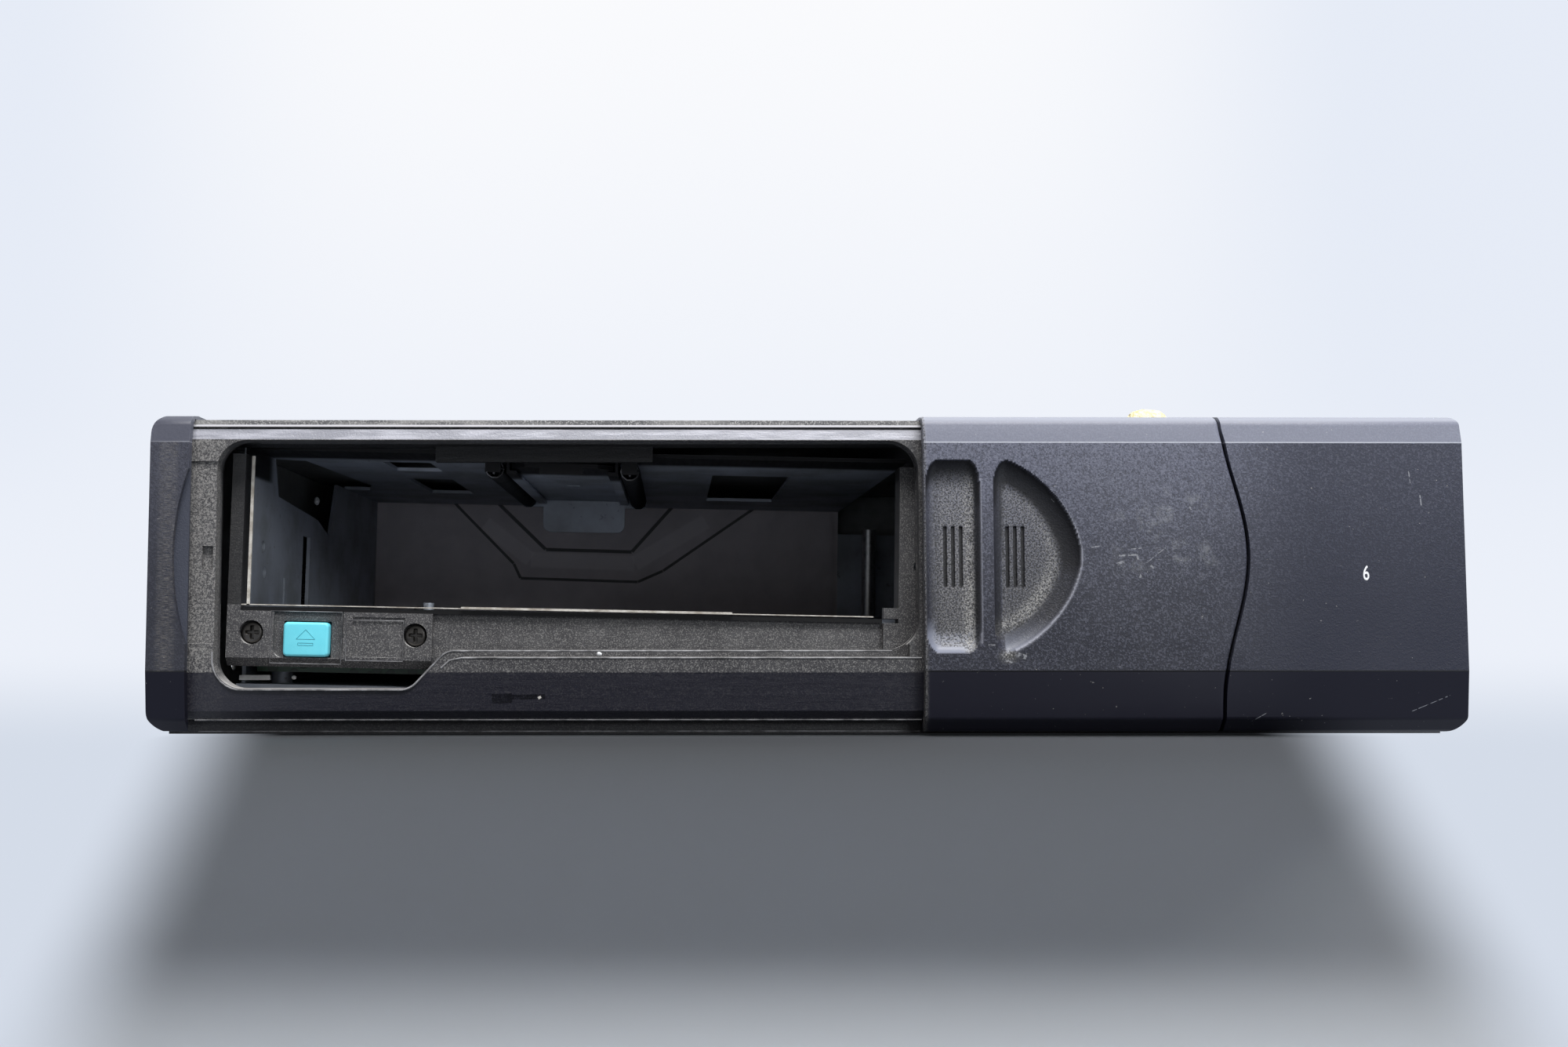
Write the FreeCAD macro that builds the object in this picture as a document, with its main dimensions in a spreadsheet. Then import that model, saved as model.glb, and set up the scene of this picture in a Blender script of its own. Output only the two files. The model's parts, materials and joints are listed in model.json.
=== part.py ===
"""Boot-mounted six-disc changer: a floating player mechanism in a sheet-steel case.

X runs to the right as seen from the front, Y runs into the unit and Z runs up. The origin is
the centre of the unit's underside. Lengths are millimetres.

The driving sizes are the cells of the spreadsheet "Sizes". PLACES names positions that are worked
out from them, and every feature is bound to both through expressions. The floating mechanism is
drawn square to the case and then turned by "sag", the small angle at which it hangs on its springs.
"""
import FreeCAD, Part
import math
import os
import re
import Sketcher

SIZES = {
    # whole unit
    "height": 62.8,
    "bay_side": 13.8,
    "player_width": 95.8,
    "player_side": 11.2,
    "rear_gap": 14.8,
    # sheet-steel case
    "case_sheet": 1.0,
    "case_inset": 4.2,
    "case_start": 16.4,
    "tongue_start": 8.8,
    "cover_below": 1.2,
    "cover_flange": 12.0,
    "cover_screw_drop": 7.0,
    "screw_proud": 1.6,
    "bracket_hole": 2.1,
    "bracket_low": 14.0,
    "bracket_rise": 18.0,
    "bracket_first": 42.0,
    "bracket_span": 100.0,
    "floor_bead": 0.6,
    # moulded front, outer level
    "shell_wall": 1.8,
    "band_height": 12.7,
    "band_low": 3.4,
    "band_slope": 1.0,
    "shell_low": 0.8,
    "low_round": 3.4,
    "chamfer_drop": 5.7,
    "chamfer_run": 0.9,
    "chamfer_rise": 4.2,
    "edge_run": 2.4,
    "edge_drop": 0.4,
    "top_start": 5.5,
    "top_wall": 0.8,
    "hook_reach": 9.6,
    "hook_drop": 3.3,
    "hook_wall": 0.8,
    "low_hook_reach": 6.4,
    "low_hook_high": 3.0,
    "front_depth": 16.0,
    "cap_width": 7.5,
    "cap_corner": 3.8,
    "scoop_depth": 1.2,
    "scoop_reach": 2.8,
    "scoop_half": 17.0,
    # frame, inner level
    "frame_setback": 3.2,
    "frame_back": 7.9,
    "frame_low": 0.3,
    "frame_below": 0.2,
    "lip_front": 4.4,
    "lip_play": 0.08,
    "frame_wall": 1.6,
    "opening_margin": 1.8,
    "opening_drop": 5.0,
    "opening_low": 16.8,
    "opening_round": 5.8,
    "notch_low": 9.2,
    "notch_width": 38.1,
    "lip_step": 1.4,
    # shutter
    "shutter_front": 5.9,
    "shutter_wall": 1.0,
    "shutter_width": 92.0,
    "shutter_low": 14.6,
    "shutter_lap": 0.5,
    "shutter_play": 0.3,
    # seam between door and fixed panel
    "panel_width": 47.2,
    "seam_bulge": 5.0,
    "seam_mid": 35.2,
    "seam_half": 28.0,
    "seam_gap": 0.55,
    # finger recesses in the door
    "recess_depth": 1.8,
    "recess_low": 16.2,
    "recess_drop": 9.1,
    "grip_bar": 2.9,
    "edge_recess": 10.8,
    "scoop_radius": 19.0,
    "groove_width": 0.45,
    "groove_pitch": 1.52,
    "groove_low": 28.9,
    "groove_high": 40.8,
    # magazine bay
    "sag": 1.147,
    "bay_width": 134.8,
    "floor_slot_side": 15.4,
    "bay_floor": 24.0,
    "ceiling_drop": 6.2,
    "bay_sheet": 0.8,
    "bay_front": 17.2,
    "bay_depth": 138.0,
    # escutcheon with the eject button
    "mask_front": 8.4,
    "mask_depth": 6.8,
    "mask_low": 12.2,
    "mask_post_drop": 2.2,
    "button_width": 9.0,
    "button_height": 6.8,
    "button_side": 15.2,
    "button_z": 17.7,
    "button_play": 0.2,
    "button_proud": 0.8,
    "stem_half": 1.6,
    "latch_arm": 10.8,
    "mask_screw_side": 4.2,
    "mask_screw_step": 32.4,
    "mask_screw_z": 18.9,
    # ejector
    "ejector_offset": -3.6,
    "ejector_width": 21.2,
    "ejector_drop": 1.6,
    "ejector_front": 20.6,
    "ejector_rear": 105.0,
    "ejector_tab": 9.1,
    "eject_spring_radius": 2.15,
    "eject_spring_reach": 14.2,
    "eject_spring_drop": 2.6,
    # player chassis
    "pan_low": 7.6,
    "player_drop": 6.6,
    "spindle_side": 33.2,
    "spindle_y": 85.0,
    "deck_z": 22.0,
    "deck_sheet": 1.0,
    "deck_front": 62.0,
    "deck_rear_gap": 3.2,
    "deck_left_gap": 13.2,
    "deck_right_gap": 11.8,
    "lift": 22.0,
    "lift_run": 33.0,
    "post_radius": 2.0,
    "running": 0.06,
    "motor_radius": 5.0,
    "turntable_radius": 14.0,
    "puck_radius": 12.0,
    "sled_start": 24.0,
    "rail_radius": 1.5,
    # loading train
    "train_y": 40.0,
    "cam_side": 31.2,
    "motor_side": 18.1,
    "gear_module": 0.8,
    "pinion_teeth": 12,
    "cam_teeth": 48,
    "gear_face": 3.0,
    "pulley_radius": 10.0,
    "motor_pulley_radius": 3.0,
    "belt_wall": 1.0,
    # suspension
    "damper_radius": 6.5,
    "damper_bore": 3.0,
    "damper_pin": 1.2,
    "float": 1.0,
    "dial_radius": 10.0,
    "dial_boss": 8.0,
    "dial_y": 95.0,
    "dial_z": 31.0,
    "dial_arm": 5.0,
    "spring_radius": 1.7,
    # rear socket
    "socket_offset": 25.4,
    "socket_width": 26.0,
    "socket_height": 11.0,
    "socket_z": 17.0,
    "socket_depth": 7.6,
    "ribbon_width": 16.0,
    "ribbon_z": 3.6,
    "ribbon_rise_y": 84.0,
    "foam_x": 72.2,
    "foam_width": 9.0,
    "foam_height": 5.2,
}

PLACES = {
    "width": "bay_side + bay_width + player_width + player_side",
    "depth": "bay_front + bay_depth + rear_gap",
    "face": "-depth / 2",
    "rear": "depth / 2",
    "case_x": "width / 2 - case_inset",
    "case_in": "case_x - case_sheet",
    "case_top": "height - cover_below",
    "cover_rear": "rear - screw_proud",
    "case_rear": "cover_rear - case_sheet",
    "cap_seam": "-width / 2 + cap_width",
    "frame_x": "case_x + frame_wall",
    "frame_top": "height - frame_below",
    "lip_high": "height - top_wall - lip_play",
    "chamfer_height": "height - chamfer_drop",
    "hook_low": "height - hook_drop",
    "opening_top": "height - opening_drop",
    "recess_high": "height - recess_drop",
    "seam_x": "width / 2 - panel_width",
    "bay_left": "-width / 2 + bay_side",
    "bay_centre": "bay_left + bay_width / 2",
    "socket_x": "bay_centre - socket_offset",
    "bay_right": "bay_left + bay_width",
    "bay_ceiling": "height - ceiling_drop",
    "bay_back": "bay_front + bay_depth",
    "open_left": "bay_left - opening_margin",
    "open_right": "bay_right + opening_margin - 0.7",
    "door_left": "open_right + 0.5",
    "shutter_right": "case_x - 1.6",
    "shutter_left": "shutter_right - shutter_width",
    "shutter_closed": "open_right + 3 - shutter_width",
    "shutter_high": "opening_top + shutter_lap",
    "button_x": "bay_left + button_side",
    "mask_screw_x": "bay_left + mask_screw_side",
    "mask_post_high": "bay_ceiling - mask_post_drop",
    "ejector_centre": "bay_centre + ejector_offset",
    "ejector_high": "bay_ceiling - ejector_drop",
    "ejector_tab_low": "ejector_high - ejector_tab",
    "eject_spring_z": "bay_ceiling - eject_spring_drop",
    "mask_left": "bay_left - 0.7",
    "mask_right": "bay_right + 1.7",
    "mask_face": "face + mask_front",
    "mask_back": "mask_face + mask_depth",
    "floor_top": "bay_floor",
    "latch_x": "button_x + latch_arm",
    "latch_y": "bay_y + 9",
    "floor_under": "bay_floor - bay_sheet",
    "ceiling_top": "bay_ceiling + bay_sheet",
    "bay_y": "face + bay_front",
    "bay_rear": "face + bay_back",
    "pan_top": "pan_low + bay_sheet",
    "spring_left": "-case_in + 2.6",
    "spring_right": "case_in - 2.6",
    "player_right": "bay_right + player_width",
    "player_high": "bay_ceiling - player_drop",
    "player_in": "player_right - bay_sheet",
    "spindle_x": "bay_right + spindle_side",
    "deck_left": "bay_right + deck_left_gap",
    "deck_right": "player_in - deck_right_gap",
    "deck_rear": "bay_back - deck_rear_gap",
    "pin_rear": "deck_rear - lift_run - 1",
    "pin_front": "pin_rear - lift_run - 10",
    "cam_x": "bay_right + cam_side",
    "motor_x": "player_in - motor_side",
    "spindle": "face + spindle_y",
    "deck_top": "deck_z + deck_sheet",
    "lens_y": "spindle + sled_start",
    "clamp_y": "face + deck_rear - 3",
    "cam_y": "face + train_y",
    "pulley_x": "cam_x + gear_module * (pinion_teeth + cam_teeth) / 2 + 0.1",
    "train_z": "pan_top + 1.6",
}

WORD = re.compile(r"[A-Za-z_][A-Za-z_0-9]*")
ROLES = {"x": "YZ_Plane", "y": "XZ_Plane", "z": "XY_Plane"}
TURNS = {
    "x": FreeCAD.Rotation(FreeCAD.Vector(0, 1, 0), 90),
    "y": FreeCAD.Rotation(FreeCAD.Vector(1, 0, 0), -90),
    "z": FreeCAD.Rotation(),
}

doc = FreeCAD.newDocument("disc_changer")
sheet = doc.addObject("Spreadsheet::Sheet", "Sizes")
for row, (alias, size) in enumerate(SIZES.items(), start=1):
    sheet.set(f"A{row}", alias)
    sheet.set(f"B{row}", str(size))
    sheet.setAlias(f"B{row}", alias)
doc.recompute()
subparts = []


# ---------------------------------------------------------------- tools

def formula(text):
    """Turn a formula in plain names into one that reads the spreadsheet."""
    def swap(match):
        word = match.group(0)
        if word in PLACES:
            return "(" + formula(PLACES[word]) + ")"
        if word in SIZES:
            return "Sizes." + word
        return word
    return WORD.sub(swap, str(text))


def number(text):
    """The present value of a formula."""
    return float(sheet.evalExpression(formula(text)))


def bind(thing, settings):
    for target, text in settings.items():
        thing.setExpression(target, formula(text))


def block(name, x, y, z):
    """A box between low and high faces, each given as a formula."""
    box = doc.addObject("Part::Box", name)
    for size, place, (low, high) in zip(("Length", "Width", "Height"), "xyz", (x, y, z)):
        bind(box, {size: f"({high}) - ({low})", "Placement.Base." + place: low})
    return box


def rod(name, axis, centre, span, radius, small=None):
    """A cylinder, or a cone when a second radius is given, along a row axis."""
    low, high = span
    kind = "Part::Cone" if small else "Part::Cylinder"
    bar = doc.addObject(kind, name)
    bar.Placement = FreeCAD.Placement(FreeCAD.Vector(), TURNS[axis])
    spots = dict(zip("xyz".replace(axis, ""), centre))
    spots[axis] = low
    bind(bar, {"Placement.Base." + place: text for place, text in spots.items()})
    bind(bar, {"Height": f"({high}) - ({low})"})
    if small:
        bind(bar, {"Radius1": radius, "Radius2": small})
    else:
        bind(bar, {"Radius": radius})
    return bar


def ring(name, axis, centre, span, radius, hole):
    """A tube along a row axis."""
    wall = rod(name + "_wall", axis, centre, span, radius)
    return cut(name, wall, [rod(name + "_hole", axis, centre, span, hole)])


def fused(name, pieces):
    if len(pieces) == 1:
        return pieces[0]
    union = doc.addObject("Part::MultiFuse", name)
    union.Shapes = pieces
    return union


def cut(name, base, tools):
    result = doc.addObject("Part::Cut", name)
    result.Base = base
    result.Tool = fused(name + "_tools", tools)
    return result


def shared(name, base, other):
    result = doc.addObject("Part::Common", name)
    result.Base = base
    result.Tool = other
    return result


def group(name, pieces):
    """Separate solids that share one node."""
    bundle = doc.addObject("Part::Compound", name)
    bundle.Links = pieces
    return bundle


def outline(name, axis, points, span, rounds=()):
    """A body padded along an axis from an outline; rounds are (radius, point numbers)."""
    low, high = span
    body = doc.addObject("PartDesign::Body", name)
    sketch = body.newObject("Sketcher::SketchObject", name + "_sketch")
    plane = next(item for item in body.Origin.OriginFeatures if item.Role == ROLES[axis])
    sketch.AttachmentSupport = [(plane, "")]
    sketch.MapMode = "FlatFace"
    start = f"-({high})" if axis == "y" else low
    bind(sketch, {"AttachmentOffset.Base.z": start})
    corners = [FreeCAD.Vector(number(u), number(v), 0) for u, v in points]
    count = len(corners)
    for index in range(count):
        sketch.addGeometry(Part.LineSegment(corners[index], corners[(index + 1) % count]), False)
    for index in range(count):
        sketch.addConstraint(Sketcher.Constraint("Coincident", index, 2, (index + 1) % count, 1))
    for index, (u, v) in enumerate(points):
        for kind, text in (("DistanceX", u), ("DistanceY", v)):
            datum = Sketcher.Constraint(kind, -1, 1, index, 1, number(text))
            bind(sketch, {f"Constraints[{sketch.addConstraint(datum)}]": text})
    pad = body.newObject("PartDesign::Pad", name + "_pad")
    pad.Profile = sketch
    bind(pad, {"Length": f"({high}) - ({low})"})
    tip = pad
    for radius, numbers in rounds:
        doc.recompute()
        spots = [corners[index] for index in numbers]
        tip = rounded(body, tip, axis, spots, radius)
    return body


def rounded(body, base, axis, spots, radius):
    """Fillet the edges that run along an axis through the given spots of the outline."""
    names = []
    for index, edge in enumerate(base.Shape.Edges, start=1):
        box = edge.BoundBox
        spread = {"x": (box.YLength, box.ZLength), "y": (box.XLength, box.ZLength)}
        across = spread.get(axis, (box.XLength, box.YLength))
        middle = box.Center
        spot = {"x": (middle.y, middle.z), "y": (middle.x, middle.z)}
        u, v = spot.get(axis, (middle.x, middle.y))
        near = any(math.hypot(u - place.x, v - place.y) < 0.02 for place in spots)
        if max(across) < 0.001 and near:
            names.append(f"Edge{index}")
    fillet = body.newObject("PartDesign::Fillet", base.Name + "_round")
    fillet.Base = (base, names)
    bind(fillet, {"Radius": radius})
    body.Tip = fillet
    return fillet


def solid(name, shape):
    """A shape worked out in code, for forms that no feature gives."""
    feature = doc.addObject("Part::Feature", name)
    feature.Shape = shape
    return feature


def keep(name, feature):
    """Register a sub-part that is fixed to, or moves on, the case."""
    feature.Label = name
    subparts.append(feature)
    return feature


def hang(name, feature):
    """Register a sub-part of the floating mechanism, turned by its sag."""
    pivot = FreeCAD.Vector(number("bay_centre"), 0, number("bay_floor"))
    turn = FreeCAD.Rotation(FreeCAD.Vector(0, 1, 0), number("sag"))
    feature.Placement = FreeCAD.Placement(FreeCAD.Vector(), turn, pivot)
    return keep(name, feature)


def screw(name, axis, centre, seat, point, sizes):
    """A cross-head screw from its seat towards its point; sizes are head and shank radius."""
    head, shank = sizes
    up = "-" if number(f"({point}) - ({seat})") > 0 else "+"
    crown = f"({seat}) {up} 1.6"
    across = f"({seat}) {up} 0.7"
    def span(first, second):
        return (first, second) if number(first) < number(second) else (second, first)
    body = fused(name + "_body", [
        rod(name + "_head", axis, centre, span(seat, crown), head),
        rod(name + "_shank", axis, centre, span(seat, point), shank),
    ])
    arms = []
    for long, short in ((0.6, 0.14), (0.14, 0.6)):
        reach = [f"{head} * {long}", f"{head} * {short}"]
        sides = [(f"({mid}) - {size}", f"({mid}) + {size}") for mid, size in zip(centre, reach)]
        spans = dict(zip("xyz".replace(axis, ""), sides))
        spans[axis] = span(across, crown)
        arms.append(block(name + "_arm", spans["x"], spans["y"], spans["z"]))
    return cut(name, body, arms)


# ---------------------------------------------------------------- steel case

def lower_case():
    """Folded tray: floor, two sides that reach forward into the frame, and the rear wall."""
    sides = []
    for side, low, high in (("left", "-case_x", "-case_in"), ("right", "case_in", "case_x")):
        tall = block(side + "_side", (low, high), ("face + case_start", "case_rear"),
                     ("0", "case_top - case_sheet"))
        tongue = block(side + "_tongue", (low, high), ("face + tongue_start", "face + case_start"),
                       ("frame_low + frame_wall + 1", "opening_top - 2"))
        sides += [tall, tongue]
    floor = block("case_floor", ("-case_x", "case_x"), ("face + case_start", "case_rear"),
                  ("0", "case_sheet"))
    wall = block("case_rear_wall", ("-case_x", "case_x"), ("case_rear - case_sheet", "case_rear"),
                 ("0", "case_top - case_sheet"))
    beads = []
    dents = []
    for name, low, high in (("left", "-case_x + 22", "-12"), ("right", "12", "case_x - 22")):
        span = ("face + 42", "rear - 24")
        beads.append(block(name + "_floor_bead", (low, high), span,
                           ("case_sheet", "case_sheet + floor_bead")))
        inner = (f"{low} + case_sheet", f"{high} - case_sheet")
        dents.append(block(name + "_floor_dent", inner, ("face + 43", "rear - 25"),
                           ("0", "floor_bead")))
    holes = []
    for side, low, high in (("left", "-case_x", "-case_in"), ("right", "case_in", "case_x")):
        span = (f"{low} - 1", f"{high} + 1")
        for y in ("face + bracket_first", "face + bracket_first + bracket_span"):
            for z in ("bracket_low", "bracket_low + bracket_rise"):
                holes.append(rod("bracket_hole", "x", (y, z), span, "bracket_hole"))
            holes.append(rod("cover_hole", "x", (y, "case_top - cover_screw_drop"), span, "1.6"))
        holes.append(rod("dial_hole", "x", ("face + dial_y", "dial_z"), span, "dial_boss + 0.06"))
    holes.append(block("socket_window", ("socket_x - socket_width / 2", "socket_x + socket_width / 2"),
                       ("case_rear - 2 * case_sheet", "case_rear + 1"),
                       ("socket_z - socket_height / 2", "socket_z + socket_height / 2")))
    for x in ("-width / 4", "width / 4"):
        holes.append(rod("rear_hole", "y", (x, "case_top - cover_screw_drop"),
                         ("case_rear - 2", "case_rear + 1"), "1.6"))
    tray = fused("case_tray", [floor, wall] + sides + beads)
    return keep("lower_case", cut("case_cut", tray, dents + holes))


def top_cover():
    """Lid with flanges folded down outside the tray's sides and rear."""
    outer = "case_x + case_sheet"
    flange = ("case_top - cover_flange", "case_top")
    plate = block("cover_plate", (f"-({outer})", outer), ("face + case_start", "cover_rear"),
                  ("case_top - case_sheet", "case_top"))
    left = block("cover_left", (f"-({outer})", "-case_x"), ("face + case_start", "cover_rear"), flange)
    right = block("cover_right", ("case_x", outer), ("face + case_start", "cover_rear"), flange)
    back = block("cover_back", (f"-({outer})", outer), ("case_rear", "cover_rear"), flange)
    ribs = [block("cover_rib", (f"{x} - 4", f"{x} + 4"), ("face + 40", "cover_rear - 20"),
                  ("case_top", "case_top + 0.5")) for x in ("-width / 4", "0", "width / 4")]
    holes = []
    for low, high in ((f"-({outer}) - 1", "-case_x + 1"), ("case_x - 1", f"{outer} + 1")):
        for y in ("face + bracket_first", "face + bracket_first + bracket_span"):
            holes.append(rod("flange_hole", "x", (y, "case_top - cover_screw_drop"), (low, high), "1.6"))
    for x in ("-width / 4", "width / 4"):
        holes.append(rod("flange_hole", "y", (x, "case_top - cover_screw_drop"),
                         ("case_rear - 1", "cover_rear + 1"), "1.6"))
    return keep("top_cover", cut("cover_cut", fused("cover_sheet", [plate, left, right, back] + ribs),
                                 holes))


def cover_screws():
    """Six pan-head screws: two in each side flange and two in the rear flange."""
    screws = []
    z = "case_top - cover_screw_drop"
    for y in ("face + bracket_first", "face + bracket_first + bracket_span"):
        screws.append(screw("left_screw", "x", (y, z), "-case_x - case_sheet", "-case_x + 4", (2.7, 1.5)))
        screws.append(screw("right_screw", "x", (y, z), "case_x + case_sheet", "case_x - 4", (2.7, 1.5)))
    for x in ("-width / 4", "width / 4"):
        screws.append(screw("rear_screw", "y", (x, z), "cover_rear", "case_rear - 4", (2.7, 1.5)))
    return keep("cover_screws", group("screw_group", screws))


# ---------------------------------------------------------------- moulded front

OUTER_FRONT = [
    ("face + low_round", "shell_low"),
    ("face + band_slope", "band_low"),
    ("face", "band_height"),
    ("face", "chamfer_height"),
    ("face + chamfer_run", "chamfer_height + chamfer_rise"),
    ("face + edge_run", "height - edge_drop"),
    ("face + top_start", "height"),
]
INNER_FRONT = [
    ("face + low_round + shell_wall - 1", "shell_low + shell_wall - 0.2"),
    ("face + band_slope + shell_wall", "band_low + 0.8"),
    ("face + shell_wall", "band_height + 0.1"),
    ("face + shell_wall", "chamfer_height - 0.4"),
    ("face + shell_wall + chamfer_run", "height - shell_wall"),
    ("face + edge_run + 1.2", "height - top_wall"),
]
FRAME_FRONT = [
    ("face + low_hook_reach + 0.6", "frame_low"),
    ("face + low_hook_reach + 0.6", "low_hook_high + 0.7"),
    ("face + low_hook_reach - hook_wall - 0.5", "low_hook_high + 0.7"),
    ("face + low_hook_reach - hook_wall - 0.5", "low_hook_high + 0.2"),
    ("face + frame_setback + 1.6", "low_hook_high + 0.2"),
    ("face + frame_setback + 0.5", "band_low + 1.5"),
    ("face + frame_setback", "band_height - 0.4"),
    ("face + frame_setback", "opening_top + 0.1"),
    ("face + lip_front - 0.4", "lip_high - 1.9"),
    ("face + lip_front - 0.1", "lip_high - 1.7"),
    ("face + lip_front - 0.7", "lip_high - 1.4"),
    ("face + lip_front", "lip_high - 0.95"),
    ("face + lip_front", "lip_high"),
    ("face + hook_reach - hook_wall - 0.6", "lip_high"),
    ("face + hook_reach - hook_wall - 0.6", "hook_low - 0.5"),
    ("face + hook_reach + 0.6", "hook_low - 0.5"),
    ("face + hook_reach + 0.6", "frame_top"),
]


def front_shell(name, low, high):
    """Length of the door's section: front wall with a hook along its top and bottom edges."""
    hooks_low = [
        ("face + low_hook_reach", "low_hook_high"),
        ("face + low_hook_reach", "shell_low"),
    ]
    hooks_high = [
        ("face + hook_reach", "height"),
        ("face + hook_reach", "hook_low"),
        ("face + hook_reach - hook_wall", "hook_low"),
        ("face + hook_reach - hook_wall", "height - top_wall"),
    ]
    tail = [
        ("face + low_hook_reach - hook_wall", "shell_low + shell_wall - 0.2"),
        ("face + low_hook_reach - hook_wall", "low_hook_high"),
    ]
    points = hooks_low + OUTER_FRONT + hooks_high + INNER_FRONT[::-1] + tail
    rounds = [("1.4", (2, 3)), ("0.6", (5,)), ("2.0", (6, 7))]
    return outline(name, "x", points, (low, high), rounds)


def end_block(name, low, high):
    """Solid end of the front: the door's outer section, as deep as the frame."""
    points = [("face + front_depth", "shell_low")] + OUTER_FRONT + [("face + front_depth", "height")]
    rounds = [("1.4", (1, 2)), ("0.6", (4,)), ("2.0", (5, 6))]
    return outline(name, "x", points, (low, high), rounds)


def end_hollow(name, low, high):
    """Space inside an end of the front, clear of the frame's section."""
    points = [("face + front_depth + 1", "shell_low - 1"), ("face + low_round", "shell_low - 1")]
    points += INNER_FRONT[1:]
    points += [("face + hook_reach + 0.2", "height - top_wall"),
               ("face + hook_reach + 0.2", "frame_top - 0.7"),
               ("face + front_depth + 1", "frame_top - 0.7")]
    return outline(name, "x", points, (low, high))


def seam_prism(name, side):
    """Everything beyond the S-shaped seam: side -1 is left of it and 1 is right of it."""
    x = number("seam_x")
    bulge = number("seam_bulge")
    middle = number("seam_mid")
    half = number("seam_half")
    top = number("height") + 2
    steps = 12
    points = []
    for step in range(steps + 1):
        z = middle - half + 2 * half * step / steps
        swing = bulge * math.cos(math.pi * (z - middle) / (2 * half)) ** 2
        points.append(FreeCAD.Vector(x + swing - side * number("seam_gap") / 2, 0, z))
    curve = Part.BSplineCurve()
    upright = FreeCAD.Vector(0, 0, 1)
    curve.interpolate(Points=points, InitialTangent=upright, FinalTangent=upright)
    far = x + side * number("width")
    ends = [FreeCAD.Vector(points[-1].x, 0, top), FreeCAD.Vector(far, 0, top),
            FreeCAD.Vector(far, 0, -3), FreeCAD.Vector(points[0].x, 0, -3)]
    edges = [curve.toShape(), Part.makeLine(points[-1], ends[0])]
    edges += [Part.makeLine(ends[index], ends[index + 1]) for index in range(3)]
    edges.append(Part.makeLine(ends[3], points[0]))
    plate = Part.Face(Part.Wire(Part.__sortEdges__(edges)))
    plate.translate(FreeCAD.Vector(0, number("face") - 2, 0))
    return solid(name, plate.extrude(FreeCAD.Vector(0, number("front_depth") + 14, 0)))


def sliding_door():
    """Door that runs along the frame on its two hooks, with two finger recesses."""
    wall = front_shell("door_shell", "door_left", "seam_x + seam_bulge + 2")
    body = cut("door_trimmed", wall, [seam_prism("door_seam", 1)])
    back = ("face + shell_wall - 0.2", "face + recess_depth + 1")
    tall = ("recess_low - 1", "recess_high + 1")
    edge_high = "door_left + edge_recess"
    bar_high = "door_left + edge_recess + grip_bar"
    centre = ("door_left + edge_recess + 1.0", "(recess_low + recess_high) / 2")
    edge_boss = block("edge_boss", ("door_left", f"{edge_high} + 1"), back, tall)
    round_boss = shared(
        "round_boss_half",
        rod("round_boss", "y", centre, back, "scoop_radius + 1.2"),
        block("boss_half", (f"{bar_high} - 1.2", f"{bar_high} + 30"), back, tall))
    front = ("face - 1", "face + recess_depth")
    high = "recess_high"
    edge = outline("edge_recess", "y", [
        ("door_left - 1", "recess_low"), (edge_high, "recess_low"), (edge_high, high),
        ("door_left - 1", high)], front, [("2.6", (1, 2))])
    dish = shared(
        "round_recess",
        rod("recess_dish", "y", centre, ("face", "face + recess_depth"), "scoop_radius",
            "scoop_radius - 1.5"),
        block("recess_half", (bar_high, f"{bar_high} + 30"), ("face", "face + recess_depth"),
              ("recess_low + 0.3", "recess_high - 0.3")))
    slots = []
    for first in ("door_left + 4.4", f"{bar_high} + 3.6"):
        for index in range(3):
            x = f"{first} + {index} * groove_pitch"
            slots.append(block("grip_groove", (f"{x} - groove_width / 2", f"{x} + groove_width / 2"),
                               ("face + 1", "face + recess_depth + 0.35"),
                               ("groove_low", "groove_high")))
    thick = fused("door_bossed", [body, edge_boss, round_boss])
    return keep("sliding_door", cut("door_cut", thick, [edge, dish] + slots))


def right_front_panel():
    """Fixed panel that closes the right end of the front and meets the door at the seam."""
    half = "width / 2"
    wall = front_shell("panel_shell", "seam_x - 1", f"{half} - 1")
    end = end_block("panel_end", "frame_x", half)
    bend = cut("panel_bend", end_block("panel_corner", "case_x - 6", "frame_x + 0.5"),
               [end_hollow("panel_hollow", "case_x - 7", "frame_x")])
    whole = fused("panel_whole", [wall, bend, end])
    trimmed = cut("panel_trimmed", whole, [seam_prism("panel_seam", -1)])
    return keep("right_front_panel", corner_rounded("panel_round", trimmed, half, 2.2, 3.4))


def corner_rounded(name, base, x, top, low):
    """Round an end's upper and lower corners, the edges that run along Y at its outer face."""
    tools = []
    for z, radius, up in (("height", top, 1), ("shell_low", low, -1)):
        side = 1 if number(x) > 0 else -1
        centre_x = f"({x}) - {side * radius}"
        centre_z = f"{z} - {up * radius}"
        reach = [centre_x, f"({x}) + {side}"]
        rise = [centre_z, f"{z} + {up}"]
        square = block(name + "_square", sorted(reach, key=number), ("face - 1", "face + 20"),
                       sorted(rise, key=number))
        wheel = rod(name + "_wheel", "y", (centre_x, centre_z), ("face - 2", "face + 21"), str(radius))
        tools.append(cut(name + "_waste", square, [wheel]))
    return cut(name, base, tools)


def left_end_cap():
    """Cap that closes the left end, with a shallow scoop for a fingertip at the seam."""
    half = "-width / 2"
    block_out = end_block("cap_block", half, "cap_seam")
    hollow = end_hollow("cap_hollow", "-frame_x", "cap_seam + 1")
    bow = "(scoop_half * scoop_half + scoop_reach * scoop_reach) / (2 * scoop_reach)"
    centre = (f"cap_seam - scoop_reach + {bow}", "(recess_low + recess_high) / 2")
    scoop = rod("cap_scoop", "y", centre, ("face - 1", "face + scoop_depth"), bow)
    body = cut("cap_cut", block_out, [hollow, scoop])
    return keep("left_end_cap", corner_rounded("cap_round", body, half, number("cap_corner"), 4.2))


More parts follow.
